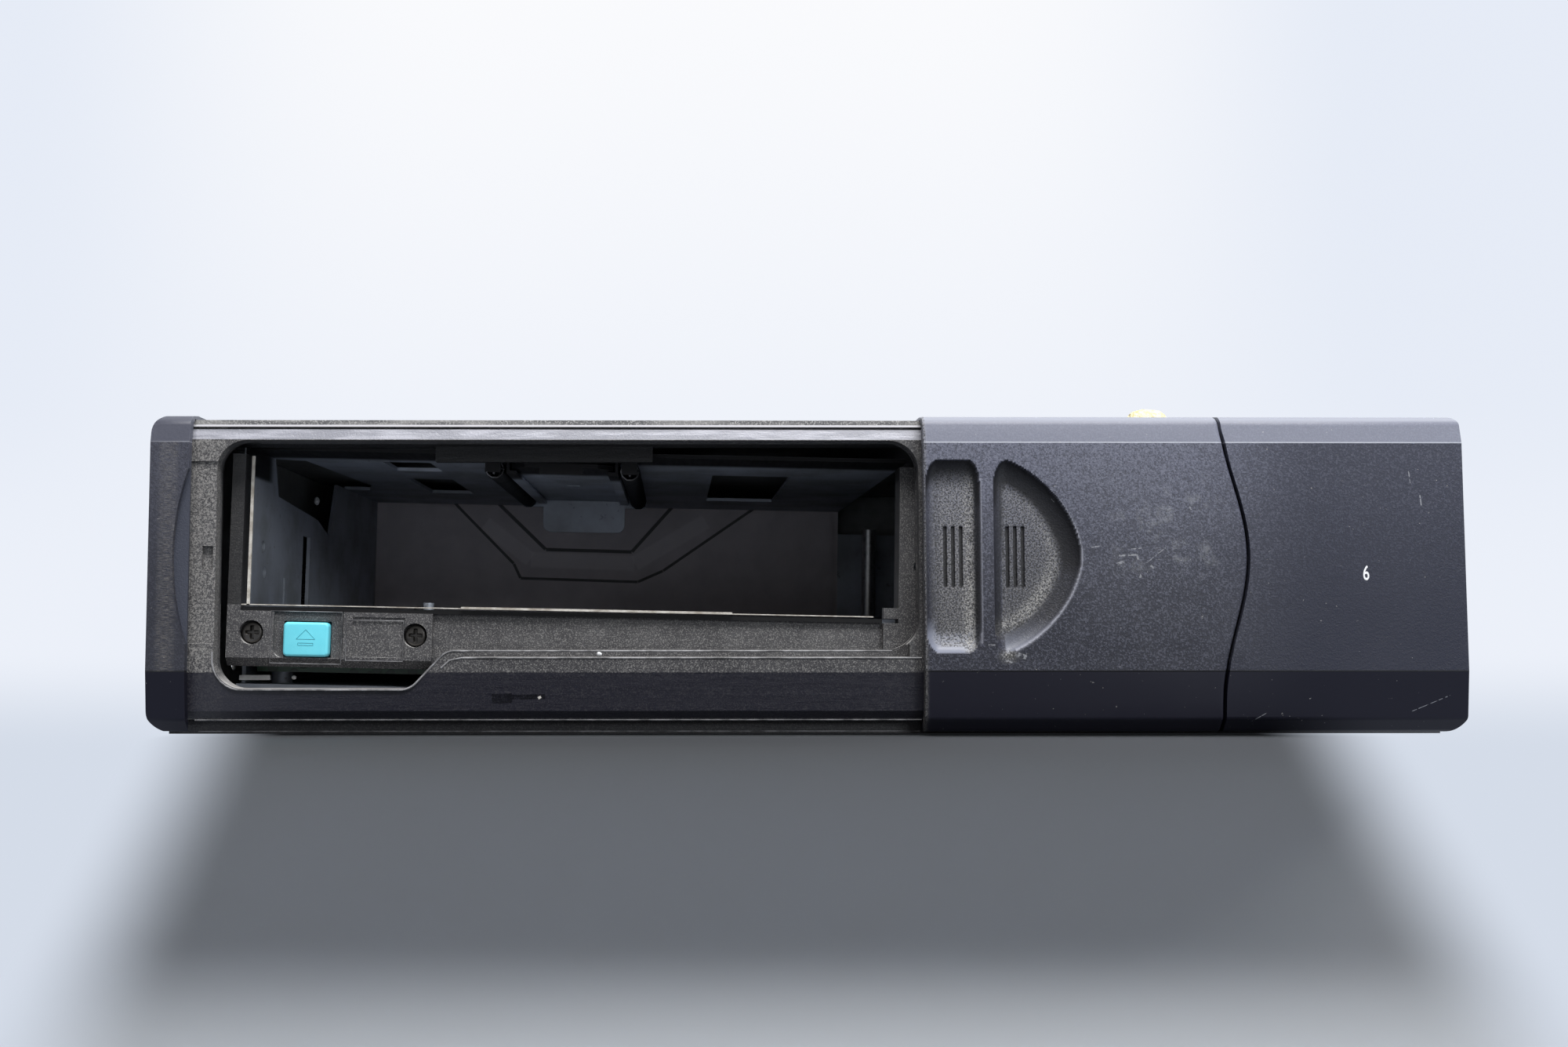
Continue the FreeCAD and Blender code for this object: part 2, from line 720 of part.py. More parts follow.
def front_frame():
    """Frame behind the door: rails along its top and bottom, the bay opening, the shutter's slot."""
    profile = [("face + front_depth", "frame_low")] + FRAME_FRONT
    profile += [("face + front_depth", "frame_top")]
    frame = outline("frame_block", "x", profile, ("-frame_x", "frame_x"))
    ceiling = "opening_top"
    wide = ("-case_x", "case_x")
    cavity = block("frame_cavity", wide, ("face + frame_back", "face + front_depth + 1"),
                   ("frame_low + frame_wall", ceiling))
    attic = block("frame_attic", wide, ("face + hook_reach + 2.1", "face + front_depth + 1"),
                  ("hook_low - 0.5", "frame_top - frame_wall"))
    left, right, top, low = "open_left", "open_right", "opening_top", "opening_low"
    drop = "(opening_low - notch_low)"
    mouth = outline("bay_mouth", "y", [
        (left, "notch_low"), (f"{left} + notch_width", "notch_low"),
        (f"{left} + notch_width + {drop} * 0.93", low), (right, low), (right, top), (left, top)],
        ("face - 1", "face + frame_back + 1"),
        [("opening_round", (0, 3, 4, 5)), ("4.5", (1,)), ("3.5", (2,))])
    step = block("lip_step", ("shutter_closed", "open_right - 2"),
                 ("face + frame_setback - 1", "face + shutter_front - shutter_play"),
                 ("opening_low - lip_step", "opening_low + 1"))
    slot = block("shutter_slot", ("shutter_closed - 1", "shutter_right + 1"),
                 ("face + shutter_front - shutter_play",
                  "face + shutter_front + shutter_wall + shutter_play"),
                 ("shutter_low - 0.4", "shutter_high + 0.4"))
    window = block("slot_window", ("open_right + 5", "shutter_right - 1"),
                   ("face + frame_setback - 1", "face + shutter_front"),
                   ("opening_low + 0.2", "opening_top - 3"))
    inset = block("strip_inset", ("-frame_x - 1", "open_left + 0.2"),
                  ("face + frame_setback - 1", "face + frame_setback + 0.4"),
                  ("opening_low + 1.2", "opening_top - 4.2"))
    rebates = [block("end_rebate", span, ("face + hook_reach", "face + front_depth + 1"),
                     ("frame_top - 0.75", "frame_top + 1"))
               for span in (("-frame_x - 1", "cap_seam + 0.1"), ("case_x - 6.1", "frame_x + 1"))]
    catch = block("door_catch", ("cap_seam + 1.9", "cap_seam + 4"),
                  ("face + frame_setback - 1", "face + frame_setback + 1.4"), ("32.3", "37"))
    lug = block("lip_lug", ("ejector_centre - 24.4", "ejector_centre + 19.7"),
                ("face + front_depth - 2.4", "face + front_depth"), ("opening_top - 3.1", ceiling))
    body = cut("frame_cut", frame, [cavity, attic, mouth, step, slot, window, inset, catch] + rebates)
    return keep("front_frame", fused("frame_whole", [body, lug]))


def inner_shutter():
    """Flat shutter that follows the door and closes the rest of the opening."""
    plate = block("shutter_plate", ("shutter_left", "shutter_right"),
                  ("face + shutter_front", "face + shutter_front + shutter_wall"),
                  ("shutter_low", "shutter_high"))
    ribs = [block("shutter_rib", (f"shutter_left + {x}", f"shutter_left + {x} + 1.2"),
                  ("face + shutter_front - 0.25", "face + shutter_front"),
                  ("opening_low + 3", "opening_top - 5")) for x in (3, 6, 9)]
    return keep("inner_shutter", fused("shutter_whole", [plate] + ribs))


# ---------------------------------------------------------------- magazine bay

def escutcheon():
    """Moulded mask on the front of the floating mechanism: a bar with a post at each end."""
    bar_top = "floor_under"
    bar = outline("mask_bar", "x", [
        ("mask_back", "mask_low"), ("mask_face + 1.6", "mask_low"), ("mask_face", "mask_low + 1.7"),
        ("mask_face", bar_top), ("mask_back", bar_top)], ("mask_left", "mask_right"))
    left = block("left_post", ("mask_left", "mask_left + 2.6"), ("mask_face", "mask_back"),
                 (bar_top, "mask_post_high"))
    right = block("right_post", ("mask_right - 4", "mask_right"), ("mask_face", "mask_back"),
                  (bar_top, "mask_post_high"))
    corner = block("mask_corner", ("mask_right - 7", "mask_right - 4"), ("mask_face", "mask_face + 2.4"),
                   ("bay_floor + 0.1", "bay_floor + 2.2"))
    low_run = block("mask_low_run", ("mask_screw_x + mask_screw_step + 3.4", "mask_right - 7"),
                    ("mask_face - 1", "mask_face + 1.2"), ("mask_low - 1", f"{bar_top} + 1"))
    tray = outline("button_tray", "y", [
        ("button_x - 6.6", "mask_low + 1.9"), ("button_x + 7.2", "mask_low + 1.9"),
        ("button_x + 7.2", f"{bar_top} + 1"), ("button_x - 6.6", f"{bar_top} + 1")],
        ("mask_face - 1", "mask_face + 0.9"), [("1.6", (0, 1))])
    label = block("label_inset", ("button_x + 9", "button_x + 19.4"),
                  ("mask_face - 1", "mask_face + 0.25"), ("mask_low + 2.2", f"{bar_top} - 0.9"))
    half_w = "(button_width / 2 + button_play)"
    half_h = "(button_height / 2 + button_play)"
    hole = block("button_hole", (f"button_x - {half_w}", f"button_x + {half_w}"),
                 ("mask_face - 1", "mask_back + 1"), (f"button_z - {half_h}", f"button_z + {half_h}"))
    wells = []
    for x in ("mask_screw_x", "mask_screw_x + mask_screw_step"):
        spot = (x, "mask_screw_z")
        wells.append(rod("screw_well", "y", spot, ("mask_face - 1", "mask_face + 2.2"), "2.4"))
        wells.append(rod("screw_hole", "y", spot, ("mask_face", "mask_back + 1"), "1.2"))
    notch = rod("post_notch", "y", ("mask_right", "34.6"), ("mask_face - 1", "mask_back + 1"), "1.1")
    whole = fused("mask_whole", [bar, left, right, corner])
    return hang("escutcheon", cut("mask_cut", whole, [low_run, tray, label, hole, notch] + wells))


def escutcheon_screws():
    screws = []
    for x in ("mask_screw_x", "mask_screw_x + mask_screw_step"):
        screws.append(screw("mask_screw", "y", (x, "mask_screw_z"), "mask_face + 2.2",
                            "mask_back + 3.4", (2.15, 1.15)))
    return hang("escutcheon_screws", group("mask_screws", screws))


def bay_floor():
    """Steel floor under the magazine, with a front flange that carries the escutcheon."""
    plate = outline("floor_plate", "z", [
        ("mask_left + 2.9", "mask_face + 0.4"), ("mask_right - 7.2", "mask_face + 0.4"),
        ("mask_right - 7.2", "mask_face + 2.6"), ("mask_right - 4.3", "mask_face + 2.6"),
        ("mask_right - 4.3", "mask_back"), ("bay_right + bay_sheet", "mask_back"),
        ("bay_right + bay_sheet", "bay_rear"), ("bay_left - bay_sheet", "bay_rear"),
        ("bay_left - bay_sheet", "mask_back"), ("mask_left + 2.9", "mask_back")],
        ("floor_under", "floor_top"))
    flange = block("floor_flange", ("mask_left + 0.6", "bay_right + bay_sheet"),
                   ("mask_back", "mask_back + bay_sheet"), ("mask_low + 2.6", "floor_under"))
    feet = [block("floor_foot", (x, f"{x} + bay_sheet"), ("bay_y + 4", "bay_rear - 4"),
                  ("pan_top", "floor_under")) for x in ("bay_left - bay_sheet", "bay_right")]
    half_w = "(button_width / 2 + 1)"
    gate = block("button_gate", (f"button_x - {half_w}", f"button_x + {half_w}"),
                 ("mask_back - 1", "mask_back + bay_sheet + 1"), ("mask_low", "floor_under - 1"))
    slot = block("latch_slot", ("latch_x + latch_arm - 2.8", "latch_x + latch_arm + 2.8"),
                 ("latch_y - 7.2", "latch_y - 1.2"), ("floor_under - 1", "floor_top + 1"))
    pivot = rod("pivot_hole", "z", ("latch_x", "latch_y"), ("floor_under - 1", "floor_top + 1"), "1.5")
    slot_rows = [block("floor_slot", (f"{x} - 1.6", f"{x} + 1.6"),
                       ("bay_y + 24", "bay_rear - 20"), ("floor_under - 1", "floor_top + 1"))
                 for x in ("(bay_left + floor_slot_side)", "(bay_right - floor_slot_side)")]
    holes = [rod("tapping_hole", "y", (x, "mask_screw_z"), ("mask_back - 1", "mask_back + 2"), "1.2")
             for x in ("mask_screw_x", "mask_screw_x + mask_screw_step")]
    whole = fused("floor_whole", [plate, flange] + feet)
    return hang("bay_floor", cut("floor_cut", whole, [gate, slot, pivot] + slot_rows + holes))


def bay_left_wall():
    """Left wall of the bay, with its holes, slots and the cut-out for the damper."""
    x = ("bay_left - bay_sheet", "bay_left")
    wide = ("bay_left - bay_sheet - 1", "bay_left + 1")
    wall = block("wall_plate", x, ("bay_y", "bay_rear"), ("floor_top", "bay_ceiling"))
    cuts = [
        rod("guide_hole", "x", ("face + 31", "bay_floor + 13"), wide, "1.3"),
        rod("guide_hole", "x", ("face + 32.5", "bay_floor + 7.6"), wide, "1.3"),
        block("emboss_slot", wide, ("face + 49", "face + 50.2"), ("bay_floor + 0.8", "bay_floor + 7")),
        block("latch_window", wide, ("face + 66", "face + 73"), ("bay_floor + 0.8", "bay_floor + 17.4")),
        outline("wall_corner", "x", [
            ("face + 38", "bay_ceiling + 1"), ("face + 42", "bay_ceiling - 8"),
            ("face + 80", "bay_ceiling - 10.5"), ("face + 94", "bay_ceiling - 14"),
            ("face + 101", "bay_ceiling + 1")], wide),
    ]
    return hang("bay_left_wall", cut("wall_cut", wall, cuts))


def bay_ceiling():
    """Ceiling of the bay, with windows, spring tabs and the two rails of the ejector."""
    z = ("bay_ceiling", "ceiling_top")
    high = ("bay_ceiling - 1", "ceiling_top + 1")
    plate = block("ceiling_plate", ("bay_left - bay_sheet", "bay_right + bay_sheet"),
                  ("face + 20.6", "bay_rear"), z)
    windows = [
        outline("corner_window", "z", [
            ("bay_left - 3", "face + 38"), ("bay_left + 6", "face + 41"), ("bay_left + 9", "face + 100"),
            ("bay_left + 6", "face + 113"), ("bay_left - 3", "face + 113")], high),
        block("ceiling_window", ("bay_centre - 44.4", "bay_centre - 33.9"), ("face + 40", "face + 59"),
              high),
        block("ceiling_window", ("bay_centre - 45.4", "bay_centre - 34.4"), ("face + 78", "face + 118"),
              high),
        block("ceiling_window", ("bay_centre + 28.6", "bay_centre + 46.6"), ("face + 55", "face + 125"),
              high),
    ]
    half = "ejector_width / 2"
    rails = []
    for side in (-1, 1):
        def span(first, second):
            return sorted((f"ejector_centre + {side} * ({half} + {first})",
                           f"ejector_centre + {side} * ({half} + {second})"), key=number)
        length = ("face + 24", "ejector_rear + face - 3")
        rails.append(block("rail_web", span(0.5, 1.1), length, ("ejector_high - 2.0", "bay_ceiling")))
        rails.append(block("rail_foot", span(-1.0, 0.5), length,
                           ("ejector_high - 2.0", "ejector_high - 1.3")))
        tab = (f"ejector_centre + {side} * eject_spring_reach - 1.6",
               f"ejector_centre + {side} * eject_spring_reach + 1.6")
        rails.append(block("spring_tab", tab, ("face + 20.6", "face + 21.4"),
                           ("eject_spring_z - 1", "bay_ceiling")))
    whole = fused("ceiling_whole", [cut("ceiling_cut", plate, windows)] + rails)
    return hang("bay_ceiling", whole)


def bay_back_plate():
    """Stamped rear wall of the bay: a raised field with two stepped channels pressed into it."""
    front = "bay_rear"
    plate = block("back_plate", ("bay_left - bay_sheet", "bay_right + bay_sheet"),
                  (f"{front} + 0.9", f"{front} + 1.7"), ("pan_top", "ceiling_top"))
    field = outline("back_field", "y", [
        ("bay_left + 3.6", "bay_floor"), ("bay_right - 0.8", "bay_floor"),
        ("bay_right - 0.8", "bay_ceiling - 0.8"), ("bay_left + 3.6", "bay_ceiling - 0.8")],
        (front, f"{front} + 0.9"), [("3", (2, 3))])
    wide = outline("wide_channel", "y", [
        ("bay_centre - 44", "bay_ceiling + 1"), ("bay_centre - 26.4", "bay_floor + 15.4"),
        ("bay_centre - 24.4", "bay_floor + 11.2"), ("bay_centre + 10", "bay_floor + 10.8"),
        ("bay_centre + 17.4", "bay_floor + 14.2"), ("bay_centre + 44", "bay_ceiling + 1")],
        (f"{front} - 1", f"{front} + 0.5"))
    narrow = outline("narrow_channel", "y", [
        ("bay_centre - 31", "bay_ceiling + 1"), ("bay_centre - 17.1", "bay_floor + 19.8"),
        ("bay_centre + 8.2", "bay_floor + 19.6"), ("bay_centre + 20", "bay_ceiling + 1")],
        (f"{front} - 1", f"{front} + 1.0"))
    whole = fused("back_whole", [plate, cut("field_cut", field, [wide, narrow])])
    return hang("bay_back_plate", whole)


def ejector_slider():
    """Spring-loaded plate under the ceiling whose rear tab pushes the magazine out."""
    half = "ejector_width / 2"
    low = "ejector_high - 0.9"
    plate = outline("ejector_plate", "z", [
        (f"ejector_centre - {half}", "face + ejector_front + 3"),
        (f"ejector_centre - {half} + 3", "face + ejector_front"),
        (f"ejector_centre + {half} - 3", "face + ejector_front"),
        (f"ejector_centre + {half}", "face + ejector_front + 3"),
        (f"ejector_centre + {half}", "face + ejector_rear"),
        (f"ejector_centre - {half}", "face + ejector_rear")], (low, "ejector_high"))
    tab = outline("ejector_tab", "y", [
        (f"ejector_centre - {half}", "ejector_tab_low"), (f"ejector_centre + {half}", "ejector_tab_low"),
        (f"ejector_centre + {half}", "ejector_high"), (f"ejector_centre - {half}", "ejector_high")],
        ("face + ejector_rear - 0.9", "face + ejector_rear"), [("2", (0, 1))])
    ear_reach = "(eject_spring_reach + 1.6)"
    ears = block("ejector_ears", (f"ejector_centre - {ear_reach}", f"ejector_centre + {ear_reach}"),
                 ("face + ejector_rear - 0.9", "face + ejector_rear"), ("eject_spring_z - 1.6",
                                                                        "ejector_high"))
    clip = block("front_clip", ("ejector_centre - 4.5", "ejector_centre + 4.5"),
                 ("face + ejector_front", "face + ejector_front + 0.8"), ("ejector_high - 2.2", low))
    mark = block("centre_slot", ("ejector_centre - 1.4", "ejector_centre + 1.4"),
                 ("face + 60", "face + 61.5"), (f"{low} - 1", "ejector_high + 1"))
    holes = [rod("ear_hole", "y", (f"ejector_centre + {side} * eject_spring_reach", "eject_spring_z"),
                 ("face + ejector_rear - 2", "face + ejector_rear + 1"), "0.7") for side in (-1, 1)]
    whole = fused("ejector_whole", [plate, tab, ears, clip])
    return hang("ejector_slider", cut("ejector_cut", whole, [mark] + holes))


def ejector_springs():
    """Pair of close-wound tension springs, drawn as their outer tube with an eye at each end."""
    springs = []
    for side in (-1, 1):
        x = f"ejector_centre + {side} * eject_spring_reach"
        spot = (x, "eject_spring_z")
        start = "face + 24"
        end = "face + ejector_rear - 4"
        coil = ring("eject_coil", "y", spot, (start, end), "eject_spring_radius",
                    "eject_spring_radius - 0.45")
        ends = [ring("coil_end", "y", spot, span, "eject_spring_radius", "0.5")
                for span in ((start, f"{start} + 0.5"), (f"{end} - 0.5", end))]
        hooks = [rod("spring_hook", "y", spot, span, "0.5")
                 for span in (("face + 21.4", f"{start} + 0.6"),
                              (f"{end} - 0.6", "face + ejector_rear - 0.9"))]
        springs.append(fused("eject_spring", [coil] + ends + hooks))
    return hang("ejector_springs", group("eject_springs", springs))


def eject_button():
    """Rounded key with a raised eject symbol, kept behind the escutcheon by its flange."""
    half_w = "button_width / 2"
    half_h = "button_height / 2"
    front = "mask_face - button_proud"
    key = outline("button_key", "y", [
        (f"button_x - {half_w}", f"button_z - {half_h}"), (f"button_x + {half_w}", f"button_z - {half_h}"),
        (f"button_x + {half_w}", f"button_z + {half_h}"), (f"button_x - {half_w}", f"button_z + {half_h}")],
        (front, "mask_back + 0.7"), [("0.9", (0, 1, 2, 3))])
    flange = block("button_flange", (f"button_x - {half_w} - 0.7", f"button_x + {half_w} + 0.7"),
                   ("mask_back + 0.06", "mask_back + 0.7"),
                   (f"button_z - {half_h} - 0.5", f"button_z + {half_h} + 0.5"))
    stem = block("button_stem", ("button_x - stem_half", "button_x + stem_half"),
                 ("mask_back + 0.7", "mask_back + 3.4"),
                 ("button_z - stem_half", "button_z + stem_half"))
    arrow = outline("button_arrow", "y", [
        ("button_x - 1.8", "button_z + 0.1"), ("button_x + 1.8", "button_z + 0.1"),
        ("button_x", "button_z + 1.9")], (f"{front} - 0.12", f"{front} + 0.1"))
    dash = block("button_dash", ("button_x - 1.8", "button_x + 1.8"), (f"{front} - 0.12", f"{front} + 0.1"),
                 ("button_z - 1.0", "button_z - 0.5"))
    return hang("eject_button", fused("button_whole", [key, flange, stem, arrow, dash]))


def magazine_latch():
    """Lever under the bay floor: one arm meets the button's stem, the other latches the magazine."""
    z = ("floor_under - 3.0", "floor_under - 1.6")
    near = "mask_back + 3.8"
    lever = outline("latch_lever", "z", [
        ("button_x - 2", near), ("button_x + 2", near),
        ("latch_x - 2.8", "latch_y - 3.4"), ("latch_x + 3.2", "latch_y - 3.4"),
        ("latch_x + latch_arm - 2", "latch_y - 4.8"), ("latch_x + latch_arm + 1.8", "latch_y - 4.8"),
        ("latch_x + latch_arm + 1.8", "latch_y - 1"), ("latch_x + 4.2", "latch_y + 3"),
        ("latch_x - 3.8", "latch_y + 3"), ("button_x - 2", "mask_back + 6.4")], z)
    pad = block("latch_pad", ("button_x - stem_half", "button_x + stem_half"), (near, f"{near} + 1.2"),
                ("button_z - stem_half", "floor_under - 2"))
    post = rod("latch_post", "z", ("latch_x + latch_arm", "latch_y - 3"),
               ("floor_under - 2", "floor_top + 1.6"), "1.1")
    bore = rod("latch_bore", "z", ("latch_x", "latch_y"), ("floor_under - 6", "floor_under"),
               "1.5 + running")
    return hang("magazine_latch", cut("latch_cut", fused("latch_whole", [lever, pad, post]), [bore]))


def latch_pivot():
    """Shouldered rivet that carries the magazine latch."""
    spot = ("latch_x", "latch_y")
    return hang("latch_pivot", fused("pivot_whole", [
        rod("pivot_shank", "z", spot, ("floor_under - 5.4", "floor_top"), "1.5"),
        rod("pivot_head", "z", spot, ("floor_under - 6.0", "floor_under - 5.2"), "2.6")]))


def latch_spring():
    """Torsion spring round the latch rivet, drawn as its outer tube."""
    return hang("latch_spring", ring("latch_coil", "z", ("latch_x", "latch_y"),
                                     ("floor_under - 5.2", "floor_under - 3.2"), "2.5", "1.8"))


# ---------------------------------------------------------------- player chassis

def player_chassis():
    """Pan under the whole mechanism with the right wall, gear posts and the board's stand-offs."""
    pan = block("chassis_pan", ("bay_left - bay_sheet", "player_right"), ("bay_y", "bay_rear + 1.7"),
                ("pan_low", "pan_top"))
    wall = block("chassis_wall", ("player_in", "player_right"), ("bay_y", "bay_rear + 1.7"),
                 ("pan_top", "player_high"))
    front = block("chassis_front", ("bay_right + bay_sheet", "player_right"),
                  ("bay_y", "bay_y + bay_sheet"), ("pan_top", "player_high"))
    back = block("chassis_back", ("bay_right + bay_sheet", "player_right"),
                 ("bay_rear + 0.9", "bay_rear + 1.7"), ("pan_top", "player_high"))
    posts = []
    for x in ("cam_x", "pulley_x"):
        posts.append(rod("gear_post", "z", (x, "cam_y"), ("pan_top", "train_z + 9.5"), "1.5"))
        posts.append(rod("gear_seat", "z", (x, "cam_y"), ("pan_top", "train_z - 0.2"), "3"))
    for x in ("bay_left + 6", "bay_right - 6"):
        for y in ("bay_y + 10", "bay_rear - 10"):
            posts.append(rod("board_post", "z", (x, y), ("pan_top", "pan_top + 2.4"), "2.2"))
    hooks = []
    for side, reach in (("left", ("spring_left - 1.6", "bay_left - bay_sheet")),
                        ("right", ("player_right", "spring_right + 1.4"))):
        hooks.append(block(side + "_spring_hook", reach, ("face + dial_y - 3", "face + dial_y + 3"),
                           ("pan_low", "pan_top")))
    windows = [block("pan_window", (x, f"{x} + 24"), ("bay_y + 54", "bay_y + 78"),
                     ("pan_low - 1", "pan_top + 1")) for x in ("bay_left + 30", "bay_left + 80")]
    notch = block("lever_window", ("player_in - 1", "player_right + 1"), ("face + 60", "face + 74"),
                  ("player_high - 9", "player_high + 1"))
    whole = fused("chassis_whole", [pan, wall, front, back] + posts + hooks)
    return hang("player_chassis", cut("chassis_cut", whole, windows + [notch]))


LIFT_POSTS = (("deck_left - 4", "deck_rear - 3"), ("deck_right - 4", "deck_rear - 3"),
              ("deck_right - 14", "bay_front + 5.8"))


def lift_posts():
    """Three upright rods on the pan that guide the deck."""
    rods = [rod("lift_post", "z", (x, f"face + {y}"), ("pan_top", "deck_z + lift + 7"), "post_radius")
            for x, y in LIFT_POSTS]
    return hang("lift_posts", group("lift_post_group", rods))


def lift_deck():
    """Deck that rises to the chosen disc and carries motor, pickup and clamp."""
    z = ("deck_z", "deck_top")
    plate = block("deck_plate", ("deck_left", "deck_right"), ("face + deck_front", "face + deck_rear"), z)
    ears = []
    bores = []
    for x, y in LIFT_POSTS:
        spot = (x, f"face + {y}")
        middle = "face + (deck_front + deck_rear) / 2"
        low, high = sorted((f"face + {y}", middle), key=number)
        ears.append(block("deck_ear", (f"{x} - 4", f"{x} + 4"), (low, high), z))
        ears.append(rod("deck_boss", "z", spot, ("deck_z - 3", "deck_top + 3"), "4"))
        bores.append(rod("deck_bore", "z", spot, ("deck_z - 4", "deck_top + 4"), "post_radius + running"))
    pins = [rod("lift_pin", "x", (f"face + {y}", "deck_z + 0.2"), ("deck_right - 3", "player_in - 0.5"),
                "1.2") for y in ("pin_front", "pin_rear")]
    pins += [block("pin_lug", ("deck_right - 4", "deck_right"), (f"face + {y} - 3", f"face + {y} + 3"),
                   ("deck_z - 1.6", "deck_z")) for y in ("pin_front", "pin_rear")]
    hangers = []
    for y in ("spindle + 13", "face + deck_rear - 2"):
        hangers.append(block("rail_hanger", ("spindle_x - 20", "spindle_x + 20"), (y, f"{y} + 1.6"),
                             ("deck_z - 9", "deck_z")))
    hinge = [block("clamp_ear", (x, f"{x} + 1.4"), ("clamp_y - 2.6", "clamp_y + 2.6"),
                   ("deck_top", "deck_top + 8")) for x in ("spindle_x - 12", "spindle_x + 10.6")]
    hook_ears = [block("hook_ear", (x, f"{x} + 1.6"), ("face + deck_front - 8", "face + deck_front + 2"),
                       ("deck_z", "deck_top + 3.6")) for x in ("deck_left - 4", "deck_right - 1.6")]
    hook_ears.append(block("hook_ear_bridge", ("deck_left - 4", "deck_left + 2"),
                           ("face + deck_front - 2", "face + deck_front + 2"), z))
    window = block("pickup_window", ("spindle_x - 8", "spindle_x + 8"), ("lens_y - 9", "lens_y + 42"),
                   ("deck_z - 1", "deck_top + 1"))
    cuts = [window, rod("spindle_hole", "z", ("spindle_x", "spindle"), ("deck_z - 1", "deck_top + 1"),
                        "3.4")]
    cuts += [rod("clamp_pin_hole", "x", ("clamp_y", "deck_top + 6"),
                 ("spindle_x - 14", "spindle_x + 14"), "1")]
    cuts += [rod("hook_rod_hole", "x", ("face + deck_front - 5", "deck_top + 2"),
                 ("deck_left - 6", "deck_right + 2"), "1")]
    for x in ("spindle_x - 14", "spindle_x + 14"):
        cuts.append(rod("rail_hole", "y", (x, "deck_z - 5.4"), ("spindle + 10", "face + deck_rear + 3"),
                        "rail_radius"))
    whole = fused("deck_whole", [plate] + ears + pins + hangers + hinge + hook_ears)
    return hang("lift_deck", cut("deck_cut", whole, bores + cuts))


def lift_slider():
    """Plate along the right wall whose two slanted slots raise the deck's pins."""
    x = ("player_in - 2.0", "player_in - 0.8")
    plate = block("slider_plate", x, ("face + pin_front - 9", "face + pin_rear + lift_run + 3.6"),
                  ("pan_top + 3.0", "deck_z + lift + 5"))
    slots = []
    rise = "lift"
    for y in ("pin_front", "pin_rear"):
        low = (f"face + {y}", "deck_z + 0.2")
        high = (f"face + {y} + lift_run", f"deck_z + 0.2 + {rise}")
        slots.append(slanted_slot("lift_slot", low, high, x))
    lug = block("screw_lug", ("player_in - 9.6", "player_in - 1.0"),
                ("face + pin_rear + lift_run - 3", "face + pin_rear + lift_run + 2"),
                ("pan_top + 1.0", "pan_top + 7.6"))
    bore = rod("lug_bore", "y", ("player_in - 6.4", "pan_top + 4.2"),
               ("face + pin_rear + lift_run - 4", "face + pin_rear + lift_run + 3"), "1.8 + running")
    whole = fused("slider_whole", [plate, lug])
    return hang("lift_slider", cut("slider_cut", whole, slots + [bore]))


def slanted_slot(name, low, high, x):
    """A round-ended slot through a plate in the YZ plane, as a shape worked out from its ends."""
    first = FreeCAD.Vector(0, number(low[0]), number(low[1]))
    last = FreeCAD.Vector(0, number(high[0]), number(high[1]))
    radius = 1.5
    run = (last - first).normalize()
    across = FreeCAD.Vector(0, -run.z, run.y) * radius
    middle_far = last + run * radius
    middle_near = first - run * radius
    edges = [
        Part.makeLine(first + across, last + across),
        Part.Arc(last + across, middle_far, last - across).toShape(),
        Part.makeLine(last - across, first - across),
        Part.Arc(first - across, middle_near, first + across).toShape(),
    ]
    face = Part.Face(Part.Wire(edges))
    face.translate(FreeCAD.Vector(number(x[0]) - 1, 0, 0))
    return solid(name, face.extrude(FreeCAD.Vector(number(x[1]) - number(x[0]) + 2, 0, 0)))


def lift_motor():
    """Can motor on the pan, and the bearing block at the far end of its screw."""
    spot = ("player_in - 6.4", "pan_top + 4.2")
    can = rod("lift_can", "y", spot, ("bay_y + 6", "bay_y + 26"), "motor_radius - 0.9")
    foot = block("lift_foot", ("player_in - 10.8", "player_in - 2.4"), ("bay_y + 10", "bay_y + 22"),
                 ("pan_top", "pan_top + 2"))
    block_end = block("screw_bearing", ("player_in - 9.4", "player_in - 3.4"),
                      ("bay_rear - 0.6", "bay_rear + 0.9"), ("pan_top", "pan_top + 7"))
    bore = rod("bearing_bore", "y", spot, ("bay_rear - 2", "bay_rear + 0.4"), "1 + running")
    socket = rod("screw_socket", "y", spot, ("bay_y + 20", "bay_y + 27"), "1 + running")
    return hang("lift_motor", cut("lift_motor_cut", fused("lift_motor_whole", [can, foot, block_end]),
                                  [bore, socket]))


def lift_screw():
    """Screw that drives the slanted-slot plate; its thread is drawn at the core diameter."""
    spot = ("player_in - 6.4", "pan_top + 4.2")
    return hang("lift_screw", fused("lift_screw_whole", [
        rod("screw_core", "y", spot, ("bay_y + 27", "bay_rear - 1"), "1.8"),
        rod("screw_journals", "y", spot, ("bay_y + 21", "bay_rear + 0.2"), "1")]))


def spindle_motor():
    can = rod("spindle_can", "z", ("spindle_x", "spindle"), ("deck_z - 6.5", "deck_z"), "9")
    boss = rod("spindle_boss", "z", ("spindle_x", "spindle"), ("deck_z", "deck_top + 1.2"), "3.4")
    bore = rod("spindle_bore", "z", ("spindle_x", "spindle"), ("deck_z - 5", "deck_top + 2"),
               "1 + running")
    return hang("spindle_motor", cut("spindle_motor_cut", fused("spindle_motor_whole", [can, boss]),
                                     [bore]))


def turntable():
    """Hub that carries the disc, on its spindle shaft."""
    spot = ("spindle_x", "spindle")
    return hang("turntable", fused("turntable_whole", [
        rod("hub_plate", "z", spot, ("deck_top + 1.6", "deck_top + 3.2"), "turntable_radius"),
        rod("hub_boss", "z", spot, ("deck_top + 3.2", "deck_top + 4"), "7.4"),
        rod("hub_cone", "z", spot, ("deck_top + 4", "deck_top + 5.4"), "7.2", "5"),
        rod("hub_shaft", "z", spot, ("deck_z - 4.6", "deck_top + 1.7"), "1")]))


